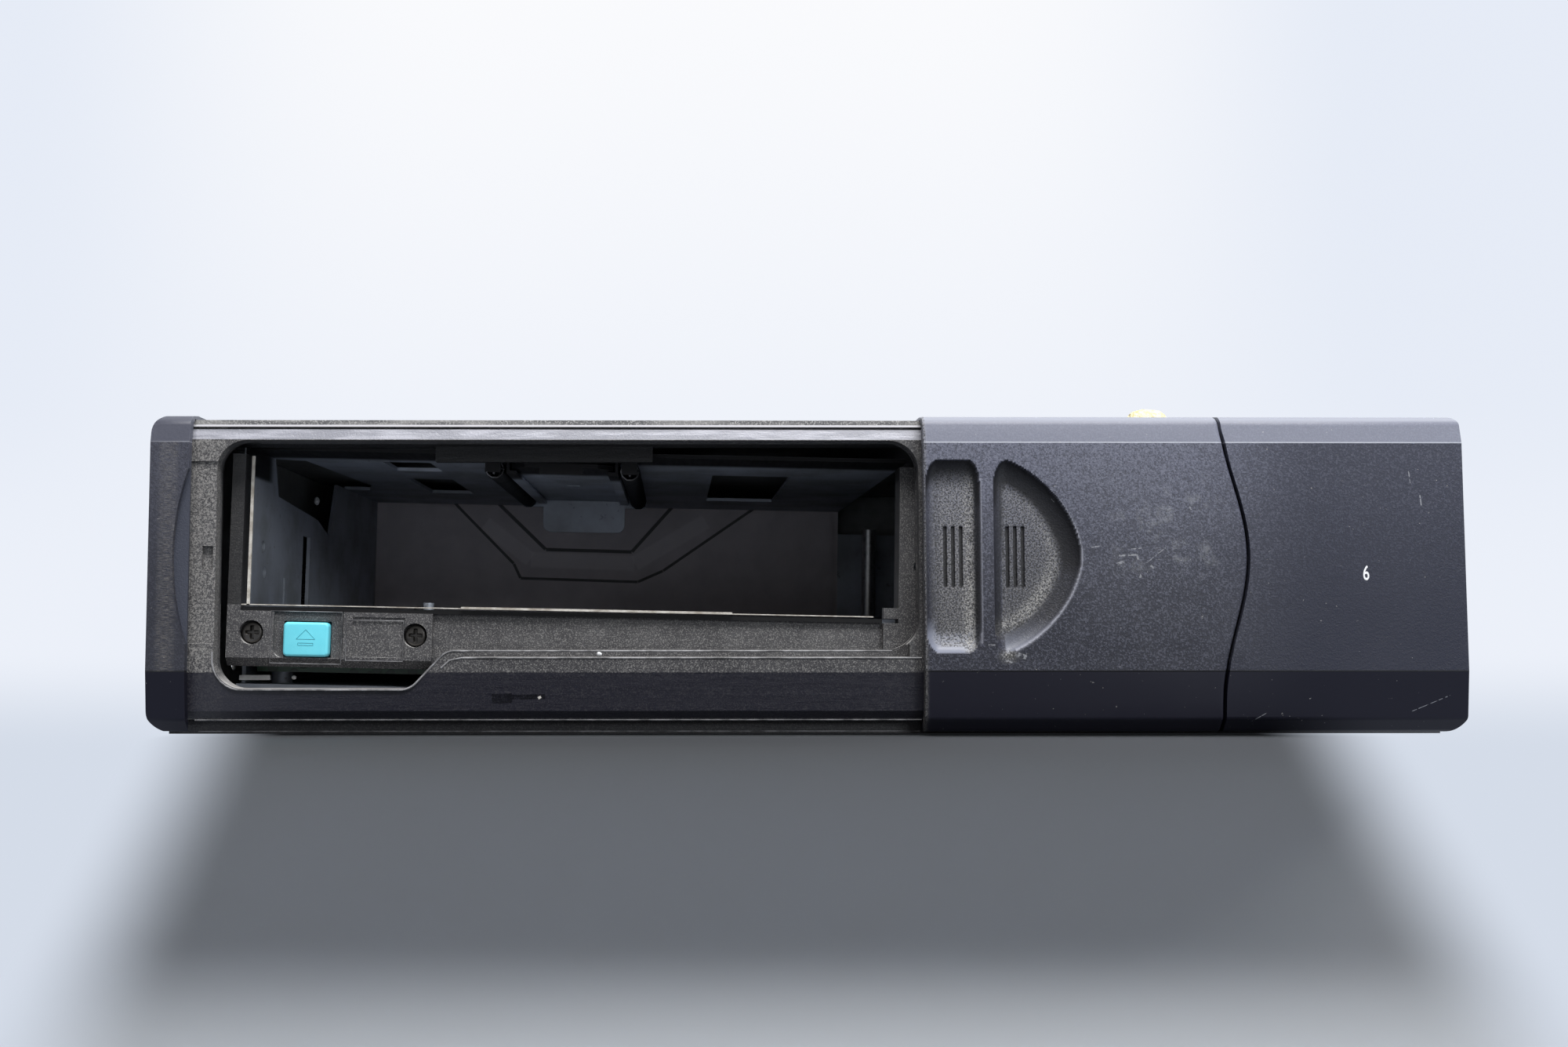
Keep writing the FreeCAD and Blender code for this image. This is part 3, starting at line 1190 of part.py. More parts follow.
def clamp_arm():
    """Arm hinged at the rear of the deck that presses the clamp puck onto the disc."""
    z = ("deck_top + 8.2", "deck_top + 9.2")
    plate = outline("arm_plate", "z", [
        ("spindle_x - 10.2", "clamp_y + 2.6"), ("spindle_x + 10.2", "clamp_y + 2.6"),
        ("spindle_x + 10.2", "clamp_y - 8"), ("spindle_x + 7", "clamp_y - 20"),
        ("spindle_x + 10.2", "spindle + 8"), ("spindle_x + 10.2", "spindle - 6"),
        ("spindle_x + 6", "spindle - 11"), ("spindle_x - 6", "spindle - 11"),
        ("spindle_x - 10.2", "spindle - 6"), ("spindle_x - 10.2", "spindle + 8"),
        ("spindle_x - 7", "clamp_y - 20"), ("spindle_x - 10.2", "clamp_y - 8")], z)
    ears = [block("arm_ear", (x, f"{x} + 1.2"), ("clamp_y - 2.6", "clamp_y + 2.6"),
                  ("deck_top + 4", "deck_top + 8.2")) for x in ("spindle_x - 10.2", "spindle_x + 9")]
    hole = rod("arm_hole", "z", ("spindle_x", "spindle"), ("deck_top + 7", "deck_top + 10"), "7")
    bore = rod("arm_bore", "x", ("clamp_y", "deck_top + 6"),
               ("spindle_x - 12", "spindle_x + 12"), "1 + running")
    return hang("clamp_arm", cut("arm_cut", fused("arm_whole", [plate] + ears), [hole, bore]))


def clamp_pivot():
    return hang("clamp_pivot", fused("clamp_pin_whole", [
        rod("clamp_pin", "x", ("clamp_y", "deck_top + 6"), ("spindle_x - 12.4", "spindle_x + 12.4"), "1"),
        rod("clamp_pin_head", "x", ("clamp_y", "deck_top + 6"), ("spindle_x - 13", "spindle_x - 12"),
            "1.8")]))


def clamp_puck():
    """Loose magnetic puck in the arm's hole, which spins with the disc."""
    spot = ("spindle_x", "spindle")
    return hang("clamp_puck", cut("puck_cut", fused("puck_whole", [
        rod("puck_plate", "z", spot, ("deck_top + 5.8", "deck_top + 7.4"), "puck_radius"),
        rod("puck_neck", "z", spot, ("deck_top + 7.4", "deck_top + 9.8"), "6.4"),
        rod("puck_flange", "z", spot, ("deck_top + 9.8", "deck_top + 11"), "8.6")]),
        [rod("puck_hollow", "z", spot, ("deck_top + 5.7", "deck_top + 6.8"), "7.6")]))


def guide_rail():
    return hang("guide_rail", fused("rail_whole", [
        rod("rail_rod", "y", ("spindle_x - 14", "deck_z - 5.4"), ("spindle + 13", "face + deck_rear - 0.4"),
            "rail_radius"),
        rod("rail_head", "y", ("spindle_x - 14", "deck_z - 5.4"), ("spindle + 12.4", "spindle + 13"),
            "rail_radius + 0.6")]))


def lead_screw():
    """Screw that moves the pickup; its thread is drawn at the core diameter."""
    spot = ("spindle_x + 14", "deck_z - 5.4")
    return hang("lead_screw", fused("lead_whole", [
        rod("lead_core", "y", spot, ("spindle + 14.9", "face + deck_rear - 2.3"), "rail_radius"),
        rod("lead_journals", "y", spot, ("spindle + 3", "face + deck_rear - 0.6"),
            "rail_radius - running")]))


def sled_motor():
    spot = ("spindle_x + 14", "deck_z - 5.4")
    can = rod("sled_can", "y", spot, ("spindle - 3", "spindle + 12.8"), "motor_radius - 0.6")
    bore = rod("sled_can_bore", "y", spot, ("spindle + 2.8", "spindle + 14"), "rail_radius + running")
    shelf = block("sled_motor_foot", ("spindle_x + 11", "spindle_x + 17"),
                  ("spindle - 2", "spindle + 11"), ("deck_z - 2", "deck_z"))
    return hang("sled_motor", cut("sled_motor_cut", fused("sled_motor_whole", [can, shelf]), [bore]))


def pickup_sled():
    """Optical pickup: a cast body that runs on the rail and is moved by the screw."""
    near = ("lens_y - 7", "lens_y + 7")
    low = "deck_z - 8.6"
    body = block("sled_body", ("spindle_x - 11", "spindle_x + 9"), near, (low, "deck_z - 0.8"))
    shoe = block("rail_shoe", ("spindle_x - 17", "spindle_x - 11"), near, (low, "deck_z - 2.6"))
    nut = block("screw_nut", ("spindle_x + 9", "spindle_x + 17"), ("lens_y - 4", "lens_y + 4"),
                (low, "deck_z - 2.6"))
    tower = block("lens_tower", ("spindle_x - 6", "spindle_x + 6"), ("lens_y - 6", "lens_y + 6"),
                  ("deck_z - 0.8", "deck_top + 1.2"))
    seat = rod("lens_seat", "z", ("spindle_x", "lens_y"), ("deck_top", "deck_top + 2"), "3.2")
    bores = [rod("sled_bore", "y", (x, "deck_z - 5.4"), ("lens_y - 8", "lens_y + 8"),
                 "rail_radius + running") for x in ("spindle_x - 14", "spindle_x + 14")]
    whole = fused("sled_whole", [body, shoe, nut, tower])
    return hang("pickup_sled", cut("sled_cut", whole, [seat] + bores))


def objective_lens():
    spot = ("spindle_x", "lens_y")
    return hang("objective_lens", fused("lens_whole", [
        rod("lens_barrel", "z", spot, ("deck_top", "deck_top + 1.6"), "3.1"),
        rod("lens_dome", "z", spot, ("deck_top + 1.6", "deck_top + 2.1"), "2.4", "1.6")]))


def tray_hook():
    """Slider on the deck's front rod that draws a disc tray out of the magazine."""
    body = block("hook_body", ("deck_left - 1.8", "deck_left + 7"),
                 ("face + deck_front - 8", "face + deck_front - 2.4"), ("deck_top + 0.2", "deck_top + 3.6"))
    claw = block("hook_claw", ("deck_left - 1.8", "deck_left + 0.2"),
                 ("face + deck_front - 12", "face + deck_front - 8"), ("deck_top + 1", "deck_top + 2.4"))
    tip = block("hook_tip", ("deck_left - 1.8", "deck_left + 1.8"),
                ("face + deck_front - 12", "face + deck_front - 10.4"), ("deck_top + 1", "deck_top + 2.4"))
    bore = rod("hook_bore", "x", ("face + deck_front - 5", "deck_top + 2"),
               ("deck_left - 3", "deck_left + 8"), "1 + running")
    return hang("tray_hook", cut("hook_cut", fused("hook_whole", [body, claw, tip]), [bore]))


def tray_hook_rod():
    return hang("tray_hook_rod", fused("hook_rod_whole", [
        rod("hook_rod", "x", ("face + deck_front - 5", "deck_top + 2"), ("deck_left - 4", "deck_right"),
            "1"),
        rod("hook_rod_head", "x", ("face + deck_front - 5", "deck_top + 2"),
            ("deck_left - 4.6", "deck_left - 4"), "1.6")]))


# ---------------------------------------------------------------- loading train

def wheel_outline(teeth, module, phase, thinning=0.08):
    """Closed face of a spur wheel: straight-flanked teeth with the given backlash per flank."""
    pitch = module * teeth / 2
    root = pitch - 1.25 * module
    tip = pitch + 0.9 * module
    points = []
    for tooth in range(teeth):
        middle = phase + 2 * math.pi * tooth / teeth
        half = math.pi / (2 * teeth) - thinning / pitch
        slope = math.tan(math.radians(20))
        for radius, side in ((root, -1), (tip, -1), (tip, 1), (root, 1)):
            flank = half + slope * (pitch - radius) / pitch
            angle = middle + side * flank
            points.append(FreeCAD.Vector(radius * math.cos(angle), radius * math.sin(angle), 0))
    return Part.Face(Part.makePolygon(points + points[:1]))


def spur_wheel(name, centre, span, teeth, phase):
    """Toothed wheel on an upright axis."""
    low, high = (number(text) for text in span)
    face = wheel_outline(teeth, number("gear_module"), phase)
    face.translate(FreeCAD.Vector(number(centre[0]), number(centre[1]), low))
    return solid(name, face.extrude(FreeCAD.Vector(0, 0, high - low)))


def cam_gear():
    """Large wheel of the loading train, with a round cam track in its upper face."""
    spot = ("cam_x", "cam_y")
    span = ("train_z", "train_z + gear_face")
    wheel = spur_wheel("cam_teeth_ring", spot, span, int(number("cam_teeth")), 0)
    hub = rod("cam_hub", "z", spot, ("train_z", "train_z + gear_face + 2"), "4")
    track = cut("cam_track", rod("track_outer", "z", spot, ("train_z + 1.6", "train_z + 4"), "14"),
                [rod("track_inner", "z", spot, ("train_z + 1.5", "train_z + 4.1"), "11")])
    bore = rod("cam_bore", "z", spot, ("train_z - 1", "train_z + 9"), "1.5 + running")
    holes = [rod("cam_hole", "z", (f"cam_x + 7.6 * {round(math.cos(turn), 4)}",
                                   f"cam_y + 7.6 * {round(math.sin(turn), 4)}"),
                 ("train_z - 1", "train_z + 6"), "1.8")
             for turn in (math.pi * step / 3 for step in range(6))]
    return hang("cam_gear", cut("cam_cut", fused("cam_whole", [wheel, hub]), [track, bore] + holes))


def pulley_gear():
    """Belt pulley with the pinion that drives the large wheel."""
    spot = ("pulley_x", "cam_y")
    teeth = int(number("pinion_teeth"))
    phase = math.pi + math.pi / teeth
    pinion = spur_wheel("pinion_ring", spot, ("train_z", "train_z + gear_face + 1"), teeth, phase)
    low = "train_z + gear_face + 1"
    pieces = [pinion]
    for first, last, radius in (("0", "0.8", "pulley_radius + 1.2"), ("0.8", "3.2", "pulley_radius"),
                                ("3.2", "4", "pulley_radius + 1.2")):
        pieces.append(rod("pulley_disc", "z", spot, (f"{low} + {first}", f"{low} + {last}"), radius))
    bore = rod("pulley_bore", "z", spot, ("train_z - 1", f"{low} + 6"), "1.5 + running")
    return hang("pulley_gear", cut("pulley_cut", fused("pulley_whole", pieces), [bore]))


MOTOR_SPOT = ("motor_x", "cam_y - 6")


def loading_motor():
    can = rod("loading_can", "z", MOTOR_SPOT, ("pan_top", "train_z + gear_face + 0.2"),
              "motor_radius + 0.6")
    bore = rod("loading_bore", "z", MOTOR_SPOT, ("pan_top + 2", "train_z + gear_face + 1"),
               "1 + running")
    return hang("loading_motor", cut("loading_cut", can, [bore]))


def motor_pulley():
    low = "train_z + gear_face + 1"
    pieces = [rod("motor_shaft", "z", MOTOR_SPOT, ("pan_top + 2.2", f"{low} + 0.1"), "1")]
    for first, last, radius in (("0", "0.8", "motor_pulley_radius + 1.2"),
                                ("0.8", "3.2", "motor_pulley_radius"),
                                ("3.2", "4", "motor_pulley_radius + 1.2")):
        pieces.append(rod("motor_disc", "z", MOTOR_SPOT, (f"{low} + {first}", f"{low} + {last}"), radius))
    return hang("motor_pulley", fused("motor_pulley_whole", pieces))


def drive_belt():
    """Square rubber belt round both pulleys: two wraps joined by tangent runs."""
    big = FreeCAD.Vector(number("pulley_x"), number("cam_y"), 0)
    small = FreeCAD.Vector(number(MOTOR_SPOT[0]), number(MOTOR_SPOT[1]), 0)
    slack = 0.2
    radii = (number("pulley_radius") + slack, number("motor_pulley_radius") + slack)
    wall = number("belt_wall")
    loops = [belt_face(big, small, radii[0] + extra, radii[1] + extra) for extra in (0, wall)]
    face = loops[1].cut(loops[0])
    low = number("train_z + gear_face + 1") + 1.4
    face.translate(FreeCAD.Vector(0, 0, low))
    return hang("drive_belt", solid("belt_loop", face.extrude(FreeCAD.Vector(0, 0, 1.2))))


def belt_face(big, small, radius, other):
    """The area inside a belt round two circles."""
    line = small - big
    lean = math.acos((radius - other) / line.Length)
    aim = math.atan2(line.y, line.x)
    def spot(centre, size, turn):
        return centre + FreeCAD.Vector(size * math.cos(turn), size * math.sin(turn), 0)
    edges = [
        Part.makeLine(spot(big, radius, aim + lean), spot(small, other, aim + lean)),
        Part.Arc(spot(small, other, aim + lean), spot(small, other, aim),
                 spot(small, other, aim - lean)).toShape(),
        Part.makeLine(spot(small, other, aim - lean), spot(big, radius, aim - lean)),
        Part.Arc(spot(big, radius, aim - lean), spot(big, radius, aim + math.pi),
                 spot(big, radius, aim + lean)).toShape(),
    ]
    return Part.Face(Part.Wire(edges))


# ---------------------------------------------------------------- suspension

DAMPERS = (("face + bracket_first + 16", "dial_z + 3"),
           ("face + bracket_first + bracket_span - 18", "dial_z + 3"))


def damper_pots():
    """Four rubber pots on the mechanism's sides, each open towards the case."""
    pots = []
    for y, z in DAMPERS:
        for side, base in ((-1, "bay_left - bay_sheet"), (1, "player_right")):
            spans = [sorted((f"{base} + {side} * {first}", f"{base} + {side} * {last}"), key=number)
                     for first, last in ((0, 5), (1.2, 5.1))]
            pots.append(cut("damper_pot", rod("pot_wall", "x", (y, z), spans[0], "damper_radius - 1.4"),
                            [rod("pot_hollow", "x", (y, z), spans[1], "damper_bore")]))
    return hang("damper_pots", group("damper_pot_group", pots))


def damper_pins():
    """Four pins riveted to the case's sides, each standing in a damper pot."""
    pins = []
    for y, z in DAMPERS:
        for side in (-1, 1):
            base = "bay_left - bay_sheet" if side < 0 else "player_right"
            wall = f"{side} * case_in"
            sag_z = f"{z} - ({base} - bay_centre) * sin(sag)"
            span = sorted((wall, f"{base} + {side} * 3"), key=number)
            pin = rod("damper_pin", "x", (y, sag_z), span, "damper_pin")
            collar = rod("pin_collar", "x", (y, sag_z), sorted((wall, f"{wall} - {side} * 0.6"),
                                                             key=number), "damper_pin + 1.2")
            pins.append(fused("damper_pin_whole", [pin, collar]))
    return keep("damper_pins", group("damper_pin_group", pins))


def angle_dial(side_name, side):
    """Dial in the case's side that resets the suspension spring for the mounting angle."""
    centre = ("face + dial_y", "dial_z")
    outer = f"{side} * (case_x + 1.4)"
    def span(first, last):
        return sorted((first, last), key=number)
    flange = rod("dial_flange", "x", centre, span(f"{side} * case_x", outer), "dial_radius")
    boss = rod("dial_boss_disc", "x", centre, span(f"{side} * (case_in - 0.6)", f"{side} * case_x"),
               "dial_boss")
    pin = rod("dial_pin", "x", ("face + dial_y", "dial_z + dial_arm"),
              span(f"{side} * (case_in - 3.6)", f"{side} * (case_in - 0.6)"), "1.1")
    slot = block("coin_slot", span(f"{side} * (case_x + 0.5)", f"{side} * (case_x + 2)"),
                 ("face + dial_y - 0.9", "face + dial_y + 0.9"),
                 ("dial_z - dial_radius * 0.75", "dial_z + dial_radius * 0.75"))
    tick = rod("dial_tick", "x", ("face + dial_y + dial_radius * 0.7", "dial_z"),
               span(f"{side} * (case_x + 1)", f"{side} * (case_x + 2)"), "0.8")
    whole = fused(side_name + "_dial_whole", [flange, boss, pin])
    return keep(f"angle_dial_{side_name}", cut(side_name + "_dial_cut", whole, [slot, tick]))


def suspension_springs():
    """Two tension springs from the mechanism's hooks up to the dials' pins, as outer tubes."""
    springs = []
    for x in ("spring_left", "spring_right"):
        low = f"pan_top - ({x} - bay_centre) * sin(sag) + 0.06"
        high = "dial_z + dial_arm - 1.15"
        spot = (x, "face + dial_y")
        coil = ring("hang_coil", "z", spot, (f"{low} + 2.6", f"{high} - 2.6"), "spring_radius",
                    "spring_radius - 0.5")
        ends = []
        for first, last in ((low, f"{low} + 3"), (f"{high} - 3", high)):
            ends.append(rod("hang_hook", "z", spot, (first, last), "0.7"))
        for first, last in ((f"{low} + 2.5", f"{low} + 3"), (f"{high} - 3", f"{high} - 2.5")):
            ends.append(rod("hang_end", "z", spot, (first, last), "spring_radius"))
        springs.append(fused("hang_spring", [coil] + ends))
    return keep("suspension_springs", group("hang_springs", springs))


# ---------------------------------------------------------------- electronics and trim

def main_board():
    """Control board under the bay floor, on the pan's stand-offs."""
    board = block("board_plate", ("bay_left + 2", "bay_right - 2"), ("bay_y + 5", "bay_rear - 5"),
                  ("pan_top + 2.4", "pan_top + 4"))
    return hang("main_board", cut("board_cut", board, [
        rod("board_hole", "z", (x, y), ("pan_top + 2", "pan_top + 5"), "1.2")
        for x in ("bay_left + 6", "bay_right - 6") for y in ("bay_y + 10", "bay_rear - 10")]))


def board_parts():
    """Chips, capacitors and the cable connector on the control board."""
    top = "pan_top + 4"
    pieces = []
    for x, y, long, wide, high in ((60, 40, 14, 14, 2.2), (40, 74, 10, 18, 2), (92, 62, 18, 8, 2),
                                   (78, 98, 12, 12, 2), (30, 108, 20, 7, 3.4), (110, 108, 16, 6, 5)):
        pieces.append(block("chip", (f"bay_left + {x}", f"bay_left + {x} + {long}"),
                            (f"bay_y + {y}", f"bay_y + {y} + {wide}"), (top, f"{top} + {high}")))
    for x, y, radius, high in ((39, 8, 2.2, 4.4), (45, 9, 2.2, 4.4), (50, 8.5, 1.7, 3.6),
                               (100, 20, 4, 5.6), (24, 60, 3.2, 5.2), (112, 84, 3.2, 5.2)):
        pieces.append(rod("capacitor", "z", (f"bay_left + {x}", f"bay_y + {y}"), (top, f"{top} + {high}"),
                          str(radius)))
    return hang("board_parts", group("board_part_group", pieces))


def rear_socket():
    """Multi-way socket for the car's changer lead, set in the case's rear window."""
    x = ("socket_x - socket_width / 2", "socket_x + socket_width / 2")
    z = ("socket_z - socket_height / 2", "socket_z + socket_height / 2")
    body = block("socket_body", x, ("case_rear - socket_depth", "case_rear"), z)
    flange = block("socket_flange", (f"{x[0]} - 2", f"{x[1]} + 2"),
                   ("case_rear - 2 * case_sheet - 0.8", "case_rear - case_sheet"),
                   (f"{z[0]} - 2", f"{z[1]} + 2"))
    hollow = block("socket_hollow", (f"{x[0]} + 1.2", f"{x[1]} - 1.2"),
                   ("case_rear - socket_depth + 1.6", "case_rear + 1"),
                   (f"{z[0]} + 1.2", f"{z[1]} - 1.2"))
    pins = []
    for column in range(7):
        for row in (-1, 1):
            pin_x = f"socket_x + {round((column - 3) * 2.9, 1)}"
            pin_z = f"socket_z + {row} * 1.7"
            pins.append(block("socket_pin", (f"{pin_x} - 0.35", f"{pin_x} + 0.35"),
                              ("case_rear - socket_depth + 1", "case_rear - 3.6"), (f"{pin_z} - 0.35", f"{pin_z} + 0.35")))
    hollowed = cut("socket_cut", fused("socket_shell", [body, flange]), [hollow])
    return keep("rear_socket", fused("socket_whole", [hollowed] + pins))


def ribbon_cable():
    """Flat cable from the socket, under the pan and up through its window to the board."""
    x = ("socket_x - ribbon_width / 2", "socket_x + ribbon_width / 2")
    start = "case_rear - socket_depth"
    end = "face + ribbon_rise_y"
    board = "pan_top + 2.4 - (socket_x + ribbon_width / 2 - bay_centre) * sin(sag) - 0.1"
    pieces = [
        block("ribbon_tail", x, (f"{start} - 1", start), ("socket_z - 3", "socket_z - 2.7")),
        block("ribbon_drop", x, (f"{start} - 1.3", f"{start} - 1"), ("ribbon_z", "socket_z - 2.7")),
        block("ribbon_run", x, (end, f"{start} - 1"), ("ribbon_z", "ribbon_z + 0.3")),
        block("ribbon_rise", x, (end, f"{end} + 0.3"), ("ribbon_z", board)),
    ]
    return keep("ribbon_cable", fused("ribbon_whole", pieces))


def foam_pad():
    """Remnant of an anti-rattle foam pad stuck on the cover."""
    half = "foam_width / 2"
    lump = doc.addObject("Part::Ellipsoid", "foam_lump")
    bind(lump, {"Radius1": "foam_height", "Radius2": half, "Radius3": half,
                "Placement.Base.x": "foam_x", "Placement.Base.y": "face + 22",
                "Placement.Base.z": "case_top"})
    keep_half = block("foam_half", (f"foam_x - {half} - 1", f"foam_x + {half} + 1"),
                      ("face + 10", "face + 34"), ("case_top", "case_top + foam_height + 1"))
    return keep("foam_pad", shared("foam_whole", lump, keep_half))


# ---------------------------------------------------------------- write the sub-parts

def write_subparts():
    doc.recompute()
    for thing in doc.Objects:
        if "Invalid" in thing.State or "Error" in thing.State:
            raise RuntimeError(f"{thing.Name} failed: {thing.State}")
    os.makedirs("parts", exist_ok=True)
    for feature in subparts:
        shape = feature.Shape
        if shape.isNull() or not shape.isValid() or not shape.Solids:
            raise RuntimeError(f"{feature.Label} has no valid solid")
        shape.exportStep(f"parts/{feature.Label}.step")
        print(f"{feature.Label}: {len(shape.Solids)} solids, {shape.Volume:.1f} mm3")


lower_case()
top_cover()
cover_screws()
left_end_cap()
front_frame()
sliding_door()
right_front_panel()
inner_shutter()
escutcheon()
escutcheon_screws()
bay_floor()
bay_left_wall()
bay_ceiling()
bay_back_plate()
ejector_slider()
ejector_springs()
eject_button()
magazine_latch()
latch_pivot()
latch_spring()
player_chassis()
lift_posts()
lift_deck()
lift_slider()
lift_motor()
lift_screw()
spindle_motor()
turntable()
clamp_arm()
clamp_pivot()
clamp_puck()
guide_rail()
lead_screw()
sled_motor()
pickup_sled()
objective_lens()
tray_hook()
tray_hook_rod()
cam_gear()
pulley_gear()
loading_motor()
motor_pulley()
drive_belt()
damper_pots()
damper_pins()
angle_dial("left", -1)
angle_dial("right", 1)
suspension_springs()
main_board()
board_parts()
rear_socket()
ribbon_cable()
foam_pad()
write_subparts()
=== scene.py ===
import itertools
import json
import math

import bmesh
import bpy
import numpy as np
from mathutils import Matrix, Vector, noise


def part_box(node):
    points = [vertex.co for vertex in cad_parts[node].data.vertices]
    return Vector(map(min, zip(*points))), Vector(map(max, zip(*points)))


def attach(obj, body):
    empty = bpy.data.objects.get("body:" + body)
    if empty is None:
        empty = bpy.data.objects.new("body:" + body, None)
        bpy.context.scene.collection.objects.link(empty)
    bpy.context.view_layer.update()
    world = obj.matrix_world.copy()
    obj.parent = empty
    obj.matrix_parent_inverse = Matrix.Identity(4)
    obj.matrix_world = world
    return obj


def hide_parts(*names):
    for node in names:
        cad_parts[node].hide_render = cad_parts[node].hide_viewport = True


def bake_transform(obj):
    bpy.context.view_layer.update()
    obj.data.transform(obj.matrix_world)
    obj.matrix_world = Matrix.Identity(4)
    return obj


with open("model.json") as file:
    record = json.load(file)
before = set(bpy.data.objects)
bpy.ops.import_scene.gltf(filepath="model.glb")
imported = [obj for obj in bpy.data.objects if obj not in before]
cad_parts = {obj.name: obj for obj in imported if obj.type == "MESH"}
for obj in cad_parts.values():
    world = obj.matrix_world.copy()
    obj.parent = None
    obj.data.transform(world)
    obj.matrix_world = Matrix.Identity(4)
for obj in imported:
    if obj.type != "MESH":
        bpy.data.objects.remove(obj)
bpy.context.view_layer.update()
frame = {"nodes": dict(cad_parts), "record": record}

bl_info = {
    "name": "Car CD changer",
    "version": (1, 0, 0),
    "blender": (4, 5, 0),
    "location": "View3D > Sidebar > CD changer",
    "description": "Dresses the CD changer: moulded door, coil springs, screws and finishes",
    "category": "Object",
}

MM = 0.001
SAG = math.radians(1.147)  # of the mechanism on its worn dampers
SAG_PIVOT = (-46.6, 24.0)
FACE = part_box("sliding_door")[0][1] / MM
EJECTOR_MIDDLE = -50.2
KEY_MIDDLE = (-98.8, 17.7)


# ---- shader maths

class Value:
    """A shader socket that takes part in Python arithmetic; each step adds its Math node."""

    def __init__(self, look, socket):
        self.look = look
        self.socket = socket

    def math(self, operation, *terms):
        return self.look.node("Math", dict(enumerate(terms)), operation=operation)

    def __add__(self, other):
        return self.math("ADD", self, other)

    def __sub__(self, other):
        return self.math("SUBTRACT", self, other)

    def __rsub__(self, other):
        return self.math("SUBTRACT", other, self)

    def __mul__(self, other):
        return self.math("MULTIPLY", self, other)

    __radd__ = __add__
    __rmul__ = __mul__

    def above(self, low, high):
        """0 below low, 1 above high, smooth between."""
        return self.look.node("MapRange", {"Value": self, "From Min": low, "From Max": high},
                              interpolation_type="SMOOTHSTEP")

    def below(self, low, high):
        """1 below low, 0 above high, smooth between."""
        return 1 - self.above(low, high)

    def within(self, low, full, fade, high):
        """1 between full and fade, 0 outside low and high."""
        return self.above(low, full) * self.below(fade, high)

    def largest(self, other):
        return self.math("MAXIMUM", self, other)


class Look:
    """A material's node tree. Lengths in it are millimetres of the object's own frame."""

    def __init__(self, name):
        self.material = bpy.data.materials.new(name)
        self.material.use_nodes = True
        self.tree = self.material.node_tree
        self.shader = self.tree.nodes["Principled BSDF"]
        place = self.node("TexCoord", {}, "Object")
        self.place = self.node("VectorMath", {0: place, "Scale": 1 / MM}, operation="SCALE")
        self.x, self.y, self.z = (self.node("SeparateXYZ", {0: self.place}, axis)
                                  for axis in range(3))

    def plug(self, socket, value):
        if isinstance(value, Value):
            self.tree.links.new(value.socket, socket)
        elif socket.type == "RGBA":
            socket.default_value = (*value, 1.0)
        else:
            socket.default_value = value

    def node(self, kind, sockets, output=0, **settings):
        """Add one node: its type, the values or links of its sockets, and its settings."""
        node = self.tree.nodes.new("ShaderNode" + kind)
        for name, value in settings.items():
            setattr(node, name, value)
        for name, value in sockets.items():
            self.plug(node.inputs[name], value)
        return Value(self, node.outputs[output])

    def stretched(self, x, y, z):
        """The place with each axis stretched, for brushed and drawn marks."""
        return self.node("VectorMath", {0: self.place, 1: (x, y, z)}, operation="MULTIPLY")

    def cloud(self, scale, detail=2.0, rough=0.5, place=None):
        return self.node("TexNoise", {"Vector": place or self.place, "Scale": scale,
                                      "Detail": detail, "Roughness": rough})

    def cells(self, scale, place=None):
        return self.node("TexVoronoi", {"Vector": place or self.place, "Scale": scale})

    def level_height(self):
        """Height in the mechanism's own level frame, before its sag."""
        return self.z + (self.x - SAG_PIVOT[0]) * math.tan(SAG)

    def stroke(self, ax, az, bx, bz, width):
        """1 along a straight mark from a to b, seen from the front."""
        long = math.hypot(bx - ax, bz - az)
        ux, uz = (bx - ax) / long, (bz - az) / long
        along = (self.x - ax) * ux + (self.z - az) * uz
        across = (self.x - ax) * -uz + (self.z - az) * ux
        side = across.math("ABSOLUTE", across).below(width * 0.4, width * 0.6)
        return side * along.above(-0.1, 0.2) * along.below(long - 0.2, long + 0.1)

    def strokes(self, rows):
        """1 along any of several marks."""
        marks = 0
        for row in rows:
            marks = self.stroke(*row).largest(marks)
        return marks

    def mixed(self, factor, first, second):
        return self.node("Mix", {0: factor, 6: first, 7: second}, 2, data_type="RGBA")

    def coat(self, share, colour):
        """Lay a colour over the base so far, by its share."""
        self.base = self.mixed(share, self.base, colour)

    def mark(self, name):
        """A number stored on the mesh's points."""
        return self.node("Attribute", {}, "Fac", attribute_name=name)

    def upward(self):
        normal = self.node("NewGeometry", {}, "Normal")
        return self.node("SeparateXYZ", {0: normal}, 2)

    def finish(self, rough, bump, reach, **more):
        """Feed the shader; bump is a height, and reach its size in millimetres."""
        self.plug(self.shader.inputs["Base Color"], self.base)
        self.plug(self.shader.inputs["Roughness"], rough)
        normal = self.node("Bump", {"Height": bump, "Distance": reach * MM, "Strength": 1.0})
        self.plug(self.shader.inputs["Normal"], normal)
        for name, value in more.items():
            socket = name.replace("_", " ").title().replace("Ior", "IOR")
            self.plug(self.shader.inputs[socket], value)
        return self.material


# ---- finishes

